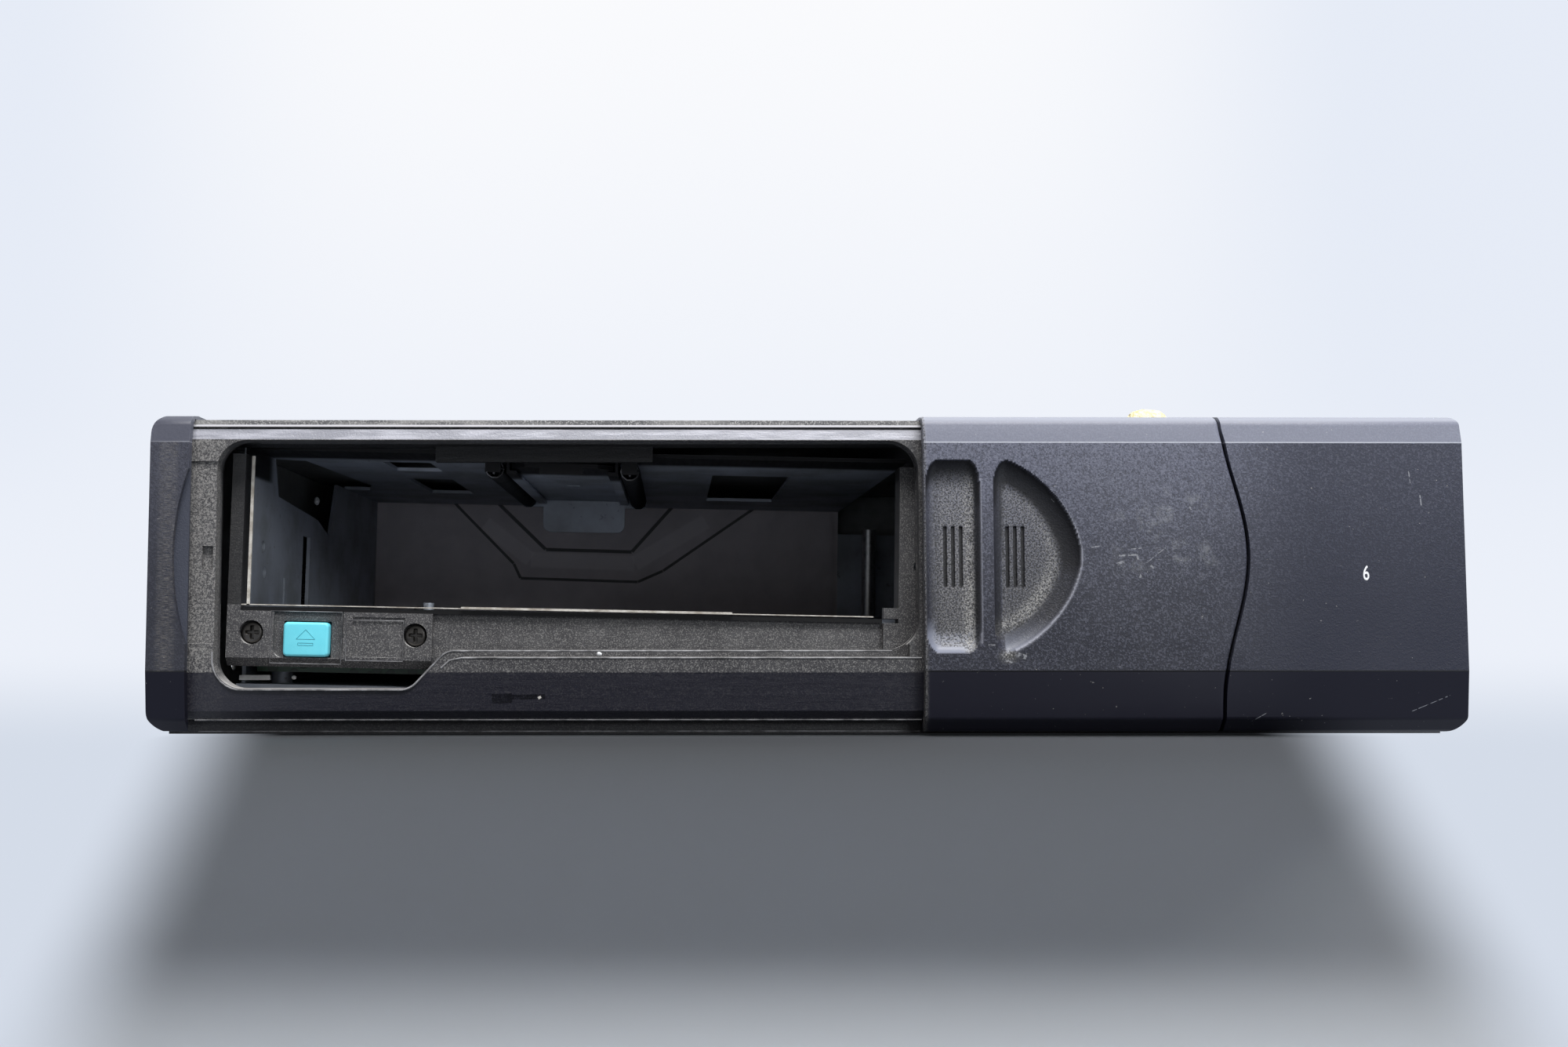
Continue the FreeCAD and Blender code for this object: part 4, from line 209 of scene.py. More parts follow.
LOOKS = {}
# Colours of painted shade and painted shadow.
SHADE_BLACK = (0.006, 0.006, 0.007)
SHADE_DARK = (0.008, 0.008, 0.010)
SCRATCHES = (  # where each starts and ends on the front, and its width
    (60.2, 35.0, 63.9, 35.2, 0.34), (62.0, 36.2, 64.7, 36.5, 0.21),
    (63.7, 35.1, 64.1, 34.0, 0.35), (54.9, 36.6, 56.8, 36.9, 0.21),
    (64.1, 31.4, 64.5, 30.7, 0.56), (66.3, 33.2, 67.0, 32.5, 0.35),
    (65.6, 33.6, 69.4, 36.6, 0.175), (59.8, 33.3, 61.2, 33.9, 0.49),
    (74.2, 44.6, 74.6, 43.7, 0.28), (40.3, 15.9, 42.0, 15.3, 0.84),
    (37.9, 14.7, 39.3, 14.3, 0.35), (47.5, 46.4, 48.2, 45.6, 0.49),
    (34.6, 17.7, 36.0, 17.7, 0.245), (117.2, 51.6, 117.5, 49.2, 0.21),
    (119.3, 46.9, 119.5, 44.8, 0.245), (116.8, 4.9, 124.2, 8.0, 0.119),
    (85.8, 3.0, 88.6, 4.6, 0.126),
)
BACK_LINES = (  # width, share, tint and places of the lines across the bay's back: a painted light band and painted shade lines along the stamped channels
    (4.4, 0.4675, (0.82, 0.78, 0.80), ((-81.8, 51), (-68.3, 40.8), (-37.8, 40.2), (-16.8, 53))),
    (0.8, 0.85, (0.03, 0.028, 0.03), ((-90.8, 57), (-73.2, 39.4), (-71.2, 35.2), (-36.8, 34.8),
                                      (-29.4, 38.2), (-2.8, 57))),
    (1.0, 0.85, (0.03, 0.028, 0.03), ((-77.8, 57), (-63.9, 43.8), (-38.6, 43.6), (-26.8, 57))),
)


def shell_plastic(colours):
    """Charcoal ABS of the outer front: spark-eroded grain, smooth lower band, dust and scuffs, with
    painted light from above: lighter towards the top, a painted sheen on the chamfer and lower
    recess walls, painted highlights on the top rim, crease and recess rims, and painted shade on
    the lower band, in the recesses and in the grip grooves.
    """
    look = Look("shell_plastic")
    band = look.z.below(12.5, 12.8)
    crease = look.z.above(57.0, 57.2)
    rim = look.z.above(61.0, 61.9)
    face = (1 - band) * (1 - crease)
    dust = look.mark("dust")
    smooth = look.mark("smooth")
    fine = look.cloud(3.1, 2.5, 0.65)
    broad = look.cloud(0.05, 3, 0.6)
    # Painted light from above: the plastic is painted lighter towards the top.
    high = look.z.above(10, 62)
    look.base = look.mixed(high * high, colours.shell_low, colours.shell_high)
    look.coat(broad.above(0.35, 0.75) * 0.22, (0.10, 0.103, 0.125))
    far = look.x.above(70, 100)
    look.coat(far * 0.8, (0.007, 0.009, 0.024))
    # Pale grain specks, partly painted glints, denser towards the top as painted light from above.
    light_grain = fine.above(0.48, 0.64) * face * (0.24 + high * 0.2 - far * 0.26)
    look.coat(light_grain, (0.205, 0.215, 0.275))
    look.coat(fine.below(0.34, 0.5) * face * (0.6 - far * 0.3), (0.018, 0.019, 0.026))
    # Smoother recess walls, coloured lighter and bluer: a painted sheen where the lower walls face
    # up.
    look.coat(smooth * 0.85, (0.19, 0.205, 0.26))
    # The lower band faces down and is painted nearly black: painted shade.
    look.coat(band, colours.shell_band_shade)
    # The chamfer facet: settled dust and a painted sheen of the light above.
    facet = look.mixed(fine.above(0.4, 0.7), colours.shell_chamfer_dust_and_sheen, (0.17, 0.18, 0.23))
    look.coat(crease, facet)
    # Painted highlight on the rounded top rim.
    look.coat(rim, (0.29, 0.305, 0.36))
    # Painted highlight along the crease line at the chamfer's foot.
    look.coat(look.z.within(56.95, 57.08, 57.2, 57.32), (0.27, 0.285, 0.335))
    cap = look.x.below(-120.4, -120.2)
    look.coat(crease * cap * 0.8, (0.035, 0.037, 0.055))
    look.coat(cap * face * 0.7, (0.022, 0.023, 0.032))
    # Painted shade along the crease above the lower band.
    look.coat(look.z.within(12.45, 12.6, 12.8, 12.95) * 0.8, SHADE_DARK)
    sparse = look.cloud(0.9, 3, 0.75).above(0.70, 0.73)
    look.coat(sparse * 0.5, (0.42, 0.41, 0.40))
    grit = look.cloud(2.8, 3, 0.75).above(0.44, 0.58) * dust + dust * 0.35
    look.coat(grit, colours.dust)
    look.coat(fine.below(0.42, 0.52) * dust.above(0.08, 0.2) * 0.8, (0.012, 0.012, 0.014))
    # Painted highlights along the recess rims.
    look.coat(look.mark("rim_highlight") * 0.75, (0.34, 0.35, 0.41))
    # Painted shade in the recesses.
    look.coat(look.mark("darkening") * 0.93, SHADE_DARK)
    # Painted shade in the grip grooves.
    look.coat(look.mark("groove") * 0.9, SHADE_BLACK)
    broken = look.cloud(1.4, 3, 0.7).above(0.42, 0.5)
    look.coat(look.strokes(SCRATCHES) * broken * 0.55, (0.36, 0.37, 0.40))
    haze = look.cloud(0.3, 4, 0.7).above(0.5, 0.72) * look.x.within(56, 66, 76, 84)
    haze = haze * look.z.within(28, 36, 44, 52)
    look.coat(haze * face * 0.3, (0.35, 0.36, 0.38))
    worn = look.cloud(1.6, 4, 0.7, look.stretched(0.4, 1, 8.0)).above(0.48, 0.62)
    streak = look.x.within(-126.6, -125, -123.4, -121.8) * face * worn
    look.coat(streak * cap * 0.38, (0.32, 0.30, 0.27))
    look.coat(look.y.above(-83.9, -83.8) * cap * look.z.below(52.5, 53) * face, (0.045, 0.05, 0.07))
    rough = 0.44 + broad * 0.1 - band * 0.08 + dust * 0.25 - smooth * 0.06
    height = fine * face * (1 - smooth * 0.7) + look.cloud(1.2, 2) * 0.35 * (1 - band)
    return look.finish(rough, height, 0.09, specular_ior_level=0.42,
                       metallic=band * (far + cap) * 0.5)


def rail_plastic(colours):
    """Brown-grey plastic of the frame and mask, rubbed on its ridges and full of fine dust, with
    painted light on its upper slope, ledge and up-facing faces, and painted shade on its lower band
    and its inner faces high up.
    """
    look = Look("rail_plastic")
    grain = look.cloud(2.6, 3, 0.6)
    front = look.y.below(-79.2, -78.4)
    up = look.upward()
    lower = look.z.within(3.2, 3.6, 12.2, 12.5)
    specks = look.cloud(4.2, 2, 0.7).above(0.52, 0.62)
    patches = look.cloud(0.12, 4, 0.65).above(0.4, 0.66)
    along = look.cloud(0.8, 3, 0.6, look.stretched(0.1, 1, 1)).above(0.42, 0.66)
    look.base = look.mixed(patches * 0.5, colours.rail, (0.085, 0.084, 0.088))
    look.coat(look.z.below(15.0, 15.4) * 0.5, (0.02, 0.02, 0.026))
    look.coat(specks * 0.42, colours.dust)
    look.coat(look.z.below(2.6, 3.0) * 0.7, (0.012, 0.012, 0.015))
    # Painted shade on the inner faces high up behind the opening.
    inside = look.y.above(-75.6, -75.2) * look.z.above(50, 51)
    look.coat(inside, SHADE_BLACK)
    worn = look.x.below(-114.5, -113.5) * look.cloud(2.6, 4, 0.75).above(0.46, 0.6) * front
    look.coat(worn * 0.6, (0.33, 0.32, 0.31))
    # The frame's lower band takes the same painted shade.
    look.coat(lower * 0.9, colours.shell_band_shade)
    # The upper slope is painted much lighter: partly dust, partly painted light from above.
    slope = look.z.within(57.85, 58.1, 60.0, 60.15)
    look.coat(slope * 0.92, look.mixed(along, (0.22, 0.225, 0.265), (0.36, 0.365, 0.42)))
    # Painted highlight on the up-facing ledge.
    ledge = look.z.within(60.45, 60.55, 61.0, 61.05)
    look.coat(ledge * 0.9, (0.42, 0.42, 0.45))
    lip = look.z.above(60.98, 61.05)
    gritty = look.mixed(specks, (0.10, 0.10, 0.105), (0.42, 0.415, 0.41))
    look.coat(lip, look.mixed(along * 0.6, gritty, (0.34, 0.335, 0.33)))
    # Up-facing faces below the chamfer are painted lighter in streaks: a painted highlight.
    edge = up.above(0.3, 0.8) * look.z.below(57, 57.5)
    look.coat(edge * (0.5 + along * 0.4), (0.5, 0.49, 0.48))
    stain = look.strokes(((-61.6, 7.2, -57.6, 7.4, 1.9), (-59.0, 7.5, -51.2, 7.7, 0.95)))
    stain = (stain - look.cloud(0.9, 3).above(0.5, 0.8) * 0.7) * front
    look.coat(stain * 0.9, (0.003, 0.003, 0.005))
    look.coat(look.stroke(-52.6, 7.35, -52.0, 7.65, 0.5) * front, (0.6, 0.58, 0.55))
    post = look.x.below(-108.8, -108.6) * look.level_height().above(24.2, 24.5)
    look.coat(post * look.y.above(-78, -77.5) * 0.85, (0.008, 0.008, 0.009))
    rough = 0.5 + specks * 0.2 - lower * 0.12 - slope * 0.1 - stain * 0.25
    return look.finish(rough, grain * (1 - lower * 0.7) + along * 0.3, 0.07, specular_ior_level=0.5)


def bay_zinc(colours):
    """Passivated zinc sheet of the bay: a bluish cast, faint rolling marks and handling dirt, with
    painted shadow at its mouth and sill and a painted highlight on the left wall's front edge.
    """
    look = Look("bay_zinc")
    look.z = look.level_height()
    rolled = look.cloud(1.2, 3, 0.6, look.stretched(1, 0.06, 1))
    stain = look.cloud(0.06, 4, 0.6)
    spots = look.cloud(0.5, 3, 0.7).above(0.62, 0.72)
    look.base = look.mixed(stain.above(0.35, 0.7), colours.zinc, (0.32, 0.34, 0.37))
    look.coat(spots * 0.5, (0.07, 0.06, 0.05))
    # Painted shadow on the ceiling's front under the opening's top edge, and painted shade on the
    # floor's front sill.
    mouth = look.y.below(-52, -46) * look.z.above(50.5, 51.5) * look.x.above(-114.1, -113.9)
    sill = look.y.below(-75.3, -75.2) * look.z.below(24.25, 24.3)
    look.coat(mouth.largest(sill), SHADE_BLACK)
    # Painted highlight along the front edge of the left wall.
    rim = look.y.below(-67.4, -67.3) * look.x.below(-114, -113.9) * look.z.above(24.5, 25)
    look.coat(rim * 0.8, (0.75, 0.77, 0.8))
    rear = look.y.above(-20, 10) * look.z.above(30, 44)
    look.coat(rear * 0.35, (0.08, 0.085, 0.095))
    rough = 0.34 + rolled * 0.18 + stain * 0.12
    return look.finish(rough, rolled * 0.6 + stain * 0.4, 0.01, metallic=0.45)


def back_zinc(colours):
    """Dull, smoke-coloured sheet at the back of the bay, with the relief of its stamped channels
    painted on as light and shade.
    """
    look = Look("back_zinc")
    look.z = look.level_height()
    stain = look.cloud(0.07, 4, 0.6)
    grain = look.cloud(2.5, 2, 0.6)
    look.base = look.mixed(stain.above(0.3, 0.7), colours.back_plate, (0.66, 0.61, 0.63))
    # Painted relief of the stamped channels: a light painted band and dark painted shade lines.
    for width, share, tint, path in BACK_LINES:
        for start, stop in zip(path, path[1:]):
            look.coat(look.stroke(*start, *stop, width) * share, tint)
    rough = 0.5 + stain * 0.15
    return look.finish(rough, grain, 0.008, metallic=0.25)


def case_zinc(colours):
    """Zinc-plated case sheet with a fine spangle and long rolling marks."""
    look = Look("case_zinc")
    flakes = look.cells(0.32)
    rolled = look.cloud(0.9, 3, 0.6, look.stretched(0.05, 1, 1))
    stain = look.cloud(0.03, 4, 0.6)
    look.base = look.mixed(stain.above(0.3, 0.75), colours.case_sheet, (0.19, 0.19, 0.185))
    look.coat(flakes.above(0.2, 0.8) * 0.25, (0.34, 0.345, 0.35))
    rough = 0.5 + rolled * 0.12 + stain * 0.12
    return look.finish(rough, rolled + flakes * 0.3, 0.008, metallic=0.5)


def turned_steel(name, tint, rough, metallic):
    """Screws, pins, shafts and wire: bright or blackened, with fine turned marks."""
    look = Look(name)
    marks = look.cloud(3.0, 3, 0.6, look.stretched(1, 1, 0.2))
    darkening = look.cloud(0.5, 4, 0.6)
    look.base = look.mixed(darkening.above(0.45, 0.7) * 0.5, tint, tuple(c * 0.45 for c in tint))
    return look.finish(rough + marks * 0.14, marks, 0.01, metallic=metallic)


def moulded(name, tint, shade, rough, reach):
    """Small mouldings: two close tints in soft patches over a fine grain."""
    look = Look(name)
    grain = look.cloud(3.2, 2, 0.6)
    patches = look.cloud(0.3, 3, 0.6)
    look.base = look.mixed(patches.above(0.3, 0.7), tint, shade)
    return look.finish(rough + patches * 0.08, grain, reach)


def button_plastic(colours):
    """Turquoise eject key: satin, a little lighter in rubbed patches."""
    look = Look("button_plastic")
    grain = look.cloud(4.0, 2, 0.5)
    patches = look.cloud(0.25, 3, 0.6)
    look.base = look.mixed(patches.above(0.35, 0.7) * 0.4, colours.button, (0.20, 0.74, 0.86))
    look.coat(look.cloud(2.2, 3, 0.7).above(0.68, 0.74) * 0.5, (0.5, 0.75, 0.75))
    return look.finish(0.36 + patches * 0.1, grain, 0.008, coat_weight=0.15)


def board_green(colours):
    """Solder mask over copper runs."""
    look = Look("board_green")
    runs = look.cells(0.35, look.stretched(1, 0.35, 1))
    look.base = look.mixed(runs.above(0.35, 0.4), colours.board, (0.03, 0.10, 0.045))
    return look.finish(0.3, runs.above(0.35, 0.4), 0.02)


def ribbon_film():
    """Flat flexible cable: pale film with its conductors showing as lines."""
    look = Look("ribbon_film")
    lines = look.node("TexWave", {"Vector": look.place, "Scale": 0.32}, bands_direction="X")
    look.base = look.mixed(lines.above(0.4, 0.6), (0.62, 0.63, 0.62), (0.34, 0.36, 0.4))
    return look.finish(0.35, lines, 0.02)


def aged_foam(colours):
    """Crumbled open-cell foam, pale yellow with brown crumbs in its pores."""
    look = Look("aged_foam")
    pores = look.cells(1.6)
    crumbs = look.cloud(0.8, 4, 0.7)
    look.base = look.mixed(crumbs.above(0.4, 0.65), colours.foam, (0.80, 0.68, 0.36))
    look.coat(pores.below(0.1, 0.3) * 0.5, (0.55, 0.42, 0.16))
    return look.finish(0.9, pores + crumbs, 0.3)


def lens_glass():
    """Coated glass of the pick-up's lens."""
    look = Look("lens_glass")
    tint = look.cloud(0.4, 2)
    look.base = look.mixed(tint, (0.35, 0.45, 0.7), (0.3, 0.5, 0.62))
    return look.finish(0.05, tint, 0.002, transmission_weight=0.6, ior=1.5)


def paper_finish():
    """Pale paper of the stage: it takes the shadow, and glows softly far behind the object and
    outside a trapezoid in front of it, whose sides paint the outline of the object's shadow; the
    glow is painted darker towards the camera and at the far sides.
    """
    look = Look("pale_paper")
    soft = look.cloud(0.004, 2)
    look.base = look.mixed(soft, (0.62, 0.668, 0.735), (0.64, 0.688, 0.755))
    look.finish(0.9, look.cloud(0.5, 2), 0.02)
    # The glow stops at a trapezoid in front of the object: its sides are a painted outline of the
    # object's shadow.
    ahead = (-85 - look.y).largest(0)
    soft_edge = ((look.y + 400) * 0.08).largest(2)
    left = (ahead * 0.226 - 104 - look.x).above(-2, soft_edge)
    right = (look.x - 90 + ahead * 0.345).above(-2, soft_edge)
    away = look.y.above(-84, 60).largest(left).largest(right)
    # The glow colour is painted darker towards the camera, lighter up the backdrop and darker at
    # its sides.
    near = look.y.math("DIVIDE", 250, look.y + 385)
    glow = look.mixed((1 - near).above(0.05, 0.88), (0.66, 0.715, 0.81), (0.84, 0.875, 0.95))
    glow = look.mixed(look.z.above(0, 900), glow, (0.96, 0.965, 0.985))
    sides = (look.x * look.x).above(60000, 640000) * look.z.above(0, 300)
    glow = look.mixed(sides, glow, (0.79, 0.835, 0.925))
    seen = 0
    for ray in ("Is Camera Ray", "Is Glossy Ray", "Is Transmission Ray"):
        seen = look.node("LightPath", {}, ray).largest(seen)
    shine = look.node("Emission", {"Color": glow})
    paper = Value(look, look.shader.outputs[0])
    mix = look.node("MixShader", {0: seen * away, 1: paper, 2: shine})
    look.plug(look.tree.nodes["Material Output"].inputs["Surface"], mix)
    return look.material


def numeral_paint():
    """Screen-printed white, slightly thin at its edges."""
    look = Look("numeral_paint")
    thin = look.cloud(3.0, 3, 0.7)
    look.base = look.mixed(thin.above(0.3, 0.6), (0.55, 0.56, 0.58), (0.84, 0.85, 0.87))
    return look.finish(0.5, thin, 0.01)


STEELS = {  # tint, roughness, metallic
    "screw_steel": ((0.5, 0.5, 0.5), 0.3, 1.0),
    "black_screw": ((0.09, 0.085, 0.08), 0.32, 0.9),
    "spring_steel": ((0.36, 0.36, 0.37), 0.28, 1.0),
    "dull_spring": ((0.12, 0.12, 0.125), 0.32, 1.0),
    "motor_steel": ((0.55, 0.55, 0.55), 0.34, 1.0),
    "cast_metal": ((0.55, 0.55, 0.57), 0.5, 1.0),
}
MOULDINGS = {  # two tints, roughness, depth of the grain in millimetres
    "dial_plastic": ((0.04, 0.04, 0.045), (0.05, 0.05, 0.055), 0.45, 0.02),
    "gear_plastic": ((0.72, 0.72, 0.68), (0.66, 0.66, 0.61), 0.4, 0.02),
    "socket_plastic": ((0.05, 0.05, 0.052), (0.035, 0.035, 0.037), 0.4, 0.02),
    "chip_plastic": ((0.035, 0.035, 0.038), (0.05, 0.048, 0.045), 0.5, 0.02),
    "rubber": ((0.028, 0.028, 0.028), (0.045, 0.043, 0.04), 0.7, 0.05),
    "button_mark": ((0.05, 0.34, 0.43), (0.06, 0.38, 0.47), 0.4, 0.01),
    # ridge: its pale tint is partly a painted highlight on the frame's ridges and the mask's
    # outlines.
    "ridge": ((0.26, 0.26, 0.275), (0.06, 0.06, 0.065), 0.45, 0.06),
    "bright_tab": ((0.80, 0.80, 0.80), (0.6, 0.6, 0.6), 0.3, 0.01),
    "dusty_edge": ((0.62, 0.6, 0.56), (0.3, 0.27, 0.23), 0.5, 0.06),
}


def mix_finishes(colours):
    """Every finish, by the record's material slot or by its own name."""
    for slot, finish in (("front_plastic", shell_plastic), ("frame_plastic", rail_plastic),
                         ("bay_steel", bay_zinc), ("back_zinc", back_zinc),
                         ("case_steel", case_zinc), ("button_plastic", button_plastic),
                         ("board", board_green), ("foam", aged_foam)):
        LOOKS[slot] = finish(colours)
    LOOKS.update({"ribbon": ribbon_film(), "lens_glass": lens_glass(), "numeral": numeral_paint()})
    LOOKS.update({name: turned_steel(name, *values) for name, values in STEELS.items()})
    LOOKS.update({name: moulded(name, *values) for name, values in MOULDINGS.items()})


# ---- mesh helpers

def added(name, data):
    """A new object in the scene."""
    thing = bpy.data.objects.new(name, data)
    bpy.context.scene.collection.objects.link(thing)
    return thing


def new_piece(name, points, faces, look, body, smooth=35):
    """A mesh object from points in millimetres; it rides a body unless it bends between two."""
    mesh = bpy.data.meshes.new(name)
    mesh.from_pydata([tuple(c * MM for c in point) for point in points], [], faces)
    mesh.validate()
    work = bmesh.new()
    work.from_mesh(mesh)
    bmesh.ops.remove_doubles(work, verts=work.verts, dist=1e-7)
    bmesh.ops.recalc_face_normals(work, faces=work.faces)
    work.to_mesh(mesh)
    work.free()
    mesh.shade_smooth()
    mesh.set_sharp_from_angle(angle=math.radians(smooth))
    mesh.materials.append(LOOKS[look])
    piece = added(name, mesh)
    if body:
        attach(piece, body)
    return piece


def sagged(part):
    """Points and faces of the mechanism, turned from its level frame by its sag."""
    points, faces = part
    px, pz = SAG_PIVOT
    c, s = math.cos(SAG), math.sin(SAG)
    return [(px + (x - px) * c + (z - pz) * s, y, pz - (x - px) * s + (z - pz) * c)
            for x, y, z in points], faces


def circle(sides):
    """Places around a circle of radius one."""
    turns = [2 * math.pi * step / sides for step in range(sides)]
    return [(math.cos(turn), math.sin(turn)) for turn in turns]


def ring_faces(rings, sides):
    """Faces between rings of points, closed at both ends."""
    faces = []
    for ring in range(rings - 1):
        for step in range(sides):
            a = ring * sides + step
            b = ring * sides + (step + 1) % sides
            faces.append((a, b, b + sides, a + sides))
    last = (rings - 1) * sides
    return faces + [tuple(range(sides))[::-1], tuple(range(last, last + sides))]


def tube(path, radius, sides):
    """Points and faces of a round wire along a path, closed at both ends."""
    path = [Vector(p) for p in path]
    points = []
    side = (path[1] - path[0]).orthogonal()
    for index, point in enumerate(path):
        ahead = path[min(index + 1, len(path) - 1)] - path[max(index - 1, 0)]
        ahead.normalize()
        side = (side - ahead * side.dot(ahead)).normalized()
        up = ahead.cross(side)
        points += [tuple(point + (side * u + up * v) * radius) for u, v in circle(sides)]
    return points, ring_faces(len(path), sides)


def join(*parts):
    points, faces = [], []
    for more, sides in parts:
        start = len(points)
        points += list(more)
        faces += [tuple(start + corner for corner in face) for face in sides]
    return points, faces


def lathe(profile, centre, axis, sides, cross):
    """Points and faces of a turned piece; cross(u, v) sinks its face."""
    points = []
    for radius, along in profile:
        for u, v in circle(sides):
            u, v = radius * u, radius * v
            out = along + cross(u, v)
            offset = {"x": (out, u, v), "y": (u, out, v)}[axis]
            points.append(tuple(c + o for c, o in zip(centre, offset)))
    return points, ring_faces(len(profile), sides)


# ---- settings

def colour(name, default, words):
    return bpy.props.FloatVectorProperty(name=name, description=words, default=default, size=3,
                                         min=0.0, max=1.0, subtype="COLOR")


def length(name, default, words):
    return bpy.props.FloatProperty(name=name, description=words, default=default * MM,
                                   unit="LENGTH", subtype="DISTANCE")


class ChangerColours(bpy.types.PropertyGroup):
    """Colours of the changer's plastics, sheets and small parts."""

    # shell_low and shell_high make a painted gradient of light from above, darker towards the lower
    # edge.
    shell_low: colour("Shell, low", (0.010, 0.011, 0.021), "Outer plastic near the lower edge")
    shell_high: colour("Shell, high", (0.108, 0.114, 0.158), "Outer plastic near the upper edge")
    # shell_band_shade is painted shade on the bands that slope under.
    shell_band_shade: colour("Lower band", (0.006, 0.006, 0.014), "Smooth band that slopes under")
    # The chamfer's colour is settled dust with a painted sheen of the light above.
    shell_chamfer_dust_and_sheen: colour("Chamfer", (0.14, 0.149, 0.196), "Sloping upper edge, with settled dust")
    rail: colour("Frame", (0.044, 0.043, 0.047), "Frame and mask behind the door")
    dust: colour("Dust", (0.36, 0.355, 0.345), "Dust in corners and along ridges")
    zinc: colour("Bay sheet", (0.48, 0.52, 0.60), "Passivated zinc sheet of the bay")
    back_plate: colour("Back plate", (0.56, 0.52, 0.54), "Sheet at the back of the bay")
    case_sheet: colour("Case sheet", (0.25, 0.253, 0.255), "Zinc-plated outer case")
    button: colour("Eject button", (0.15, 0.67, 0.81), "Turquoise key")
    board: colour("Board", (0.016, 0.055, 0.024), "Solder mask")
    foam: colour("Foam", (0.90, 0.83, 0.56), "Aged foam")


class ChangerSizes(bpy.types.PropertyGroup):
    """Sizes of the details that are modelled here."""

    recess: length("Recess depth", 2.1, "Depth of the two finger recesses")
    groove: length("Grip groove width", 0.64, "Width of the grip grooves")
    groove_depth: length("Grip groove depth", 0.5, "Depth of the grip grooves")
    ridge: length("Rail ridge radius", 0.45, "Radius of the ridges along the frame")
    wire: length("Spring wire", 0.5, "Diameter of the ejector springs' wire")
    numeral: length("Numeral height", 2.9, "Height of the printed disc number")


# ---- door

BAND_TOP = 12.7
FACET_FOOT = 57.1
DOOR_LEFT = 22.4
SEAM_GAP = 0.28
GRIP_GROOVES = (26.8, 28.35, 29.9, 39.0, 40.5, 42.0)
SECTION = [  # outer corner, its radius, inner corner; distances back from the face, and up
    ((6.4, 3.0), 0.0, (5.6, 3.0)),
    ((6.4, 0.8), 0.4, (5.6, 2.4)),
    ((3.4, 0.8), 1.4, (4.2, 2.4)),
    ((1.0, 3.4), 1.4, (2.8, 4.2)),
    ((0.0, BAND_TOP), 0.5, (1.8, 12.8)),
    ((0.0, FACET_FOOT), 0.3, (1.8, 56.7)),
    ((0.9, 61.3), 2.0, (2.7, 61.0)),
    ((2.4, 62.4), 2.0, (3.6, 62.0)),
    ((5.5, 62.8), 1.0, (5.5, 62.0)),
    ((9.6, 62.8), 0.3, (8.8, 62.0)),
    ((9.6, 59.5), 0.0, (8.8, 59.5)),
]


def rounding(before, corner, after, radius):
    """Where a corner's rounding starts and ends, and its centre."""
    back = (before - corner).normalized()
    ahead = (after - corner).normalized()
    angle = back.angle(ahead)
    run = radius / math.tan(angle / 2)
    centre = corner + (back + ahead).normalized() * (radius / math.sin(angle / 2))
    return corner + back * run, corner + ahead * run, centre


def rounded_path(corners, steps, arc=5):
    """Points along a path of (corner, radius), each straight run divided at its own shares."""
    places = [Vector(corner) for corner, _ in corners]
    radii = [radius for _, radius in corners]
    last = len(corners) - 1
    points = []
    for index, (place, radius) in enumerate(zip(places, radii)):
        inner = 0 < index < last
        if inner and radius > 0:
            start, end, centre = rounding(places[index - 1], place, places[index + 1], radius)
            for step in range(arc):
                middle = start.lerp(end, step / (arc - 1)) - centre
                points.append(centre + middle.normalized() * radius)
        else:
            points += [place] * (arc if inner else 1)
        if index < last:
            here, stop = points[-1], places[index + 1]
            if radii[index + 1] > 0 and index + 1 < last:
                stop = rounding(place, stop, places[index + 2], radii[index + 1])[0]
            points += [here.lerp(stop, share) for share in steps[index]]
    return np.array([tuple(point) for point in points])


def seam(z):
    """The S-shaped seam between door and fixed panel, at height z."""
    swing = np.where(np.abs(z - 35.2) < 28, np.cos(np.pi * (z - 35.2) / 56) ** 2, 0)
    return 80.6 + 5.0 * swing


def sunk(h, v):
    """Depth share of a scooped recess from how near its upright and level sides are."""
    near = np.clip(h, 0, None) ** 2 + np.clip(v, 0, None) ** 2
    return np.sqrt(np.clip(1 - near, 0, None)), np.sqrt(near)


def edge_recess(x, z):
    h = 1 - np.minimum((x - 22.75) / 2.6, (33.25 - x) / 2.4)
    v = 1 - np.minimum((z - 16.2) / 4.6, (53.7 - z) / 5.2)
    return sunk(h, v)


def rim_share(x, z):
    """How near the right recess's curved rim a point is: 0 at the wall's foot, 1 at the rim."""
    across = np.clip((x - 34.2) / 18.75, 0, None)
    reach = (across ** 1.72 + (np.abs(z - 34.9) / 19.7) ** 1.72) ** (1 / 1.72)
    return 1 - (1 - reach) * 19.0 / 6.2


def round_recess(x, z):
    return sunk(1 - (x - 35.95) / 3.2, rim_share(x, z))


def groove_share(x, z, width):
    """Depth share of the six grip grooves, with rounded ends."""
    share = np.zeros_like(x)
    for middle in GRIP_GROOVES:
        off = np.hypot(x - middle, np.clip(np.abs(z - 34.85) - 5.7, 0, None))
        share = np.maximum(share, np.clip((width * 0.62 - off) / (width * 0.25), 0, 1))
    return share


def door_columns():
    """Where the columns of the door's recessed part stand: close together at lips and grooves."""
    fine = np.array([x for x in np.arange(DOOR_LEFT, 54.6, 0.3)
                     if min(abs(x - middle) for middle in GRIP_GROOVES) > 0.5])
    lips = [DOOR_LEFT, 22.45, 22.55, 22.7]
    offsets = (-0.46, -0.4, -0.25, 0, 0.25, 0.4, 0.46)
    grooves = [middle + off for middle in GRIP_GROOVES for off in offsets]
    return np.unique(np.round(np.concatenate([fine, lips, grooves]), 3))


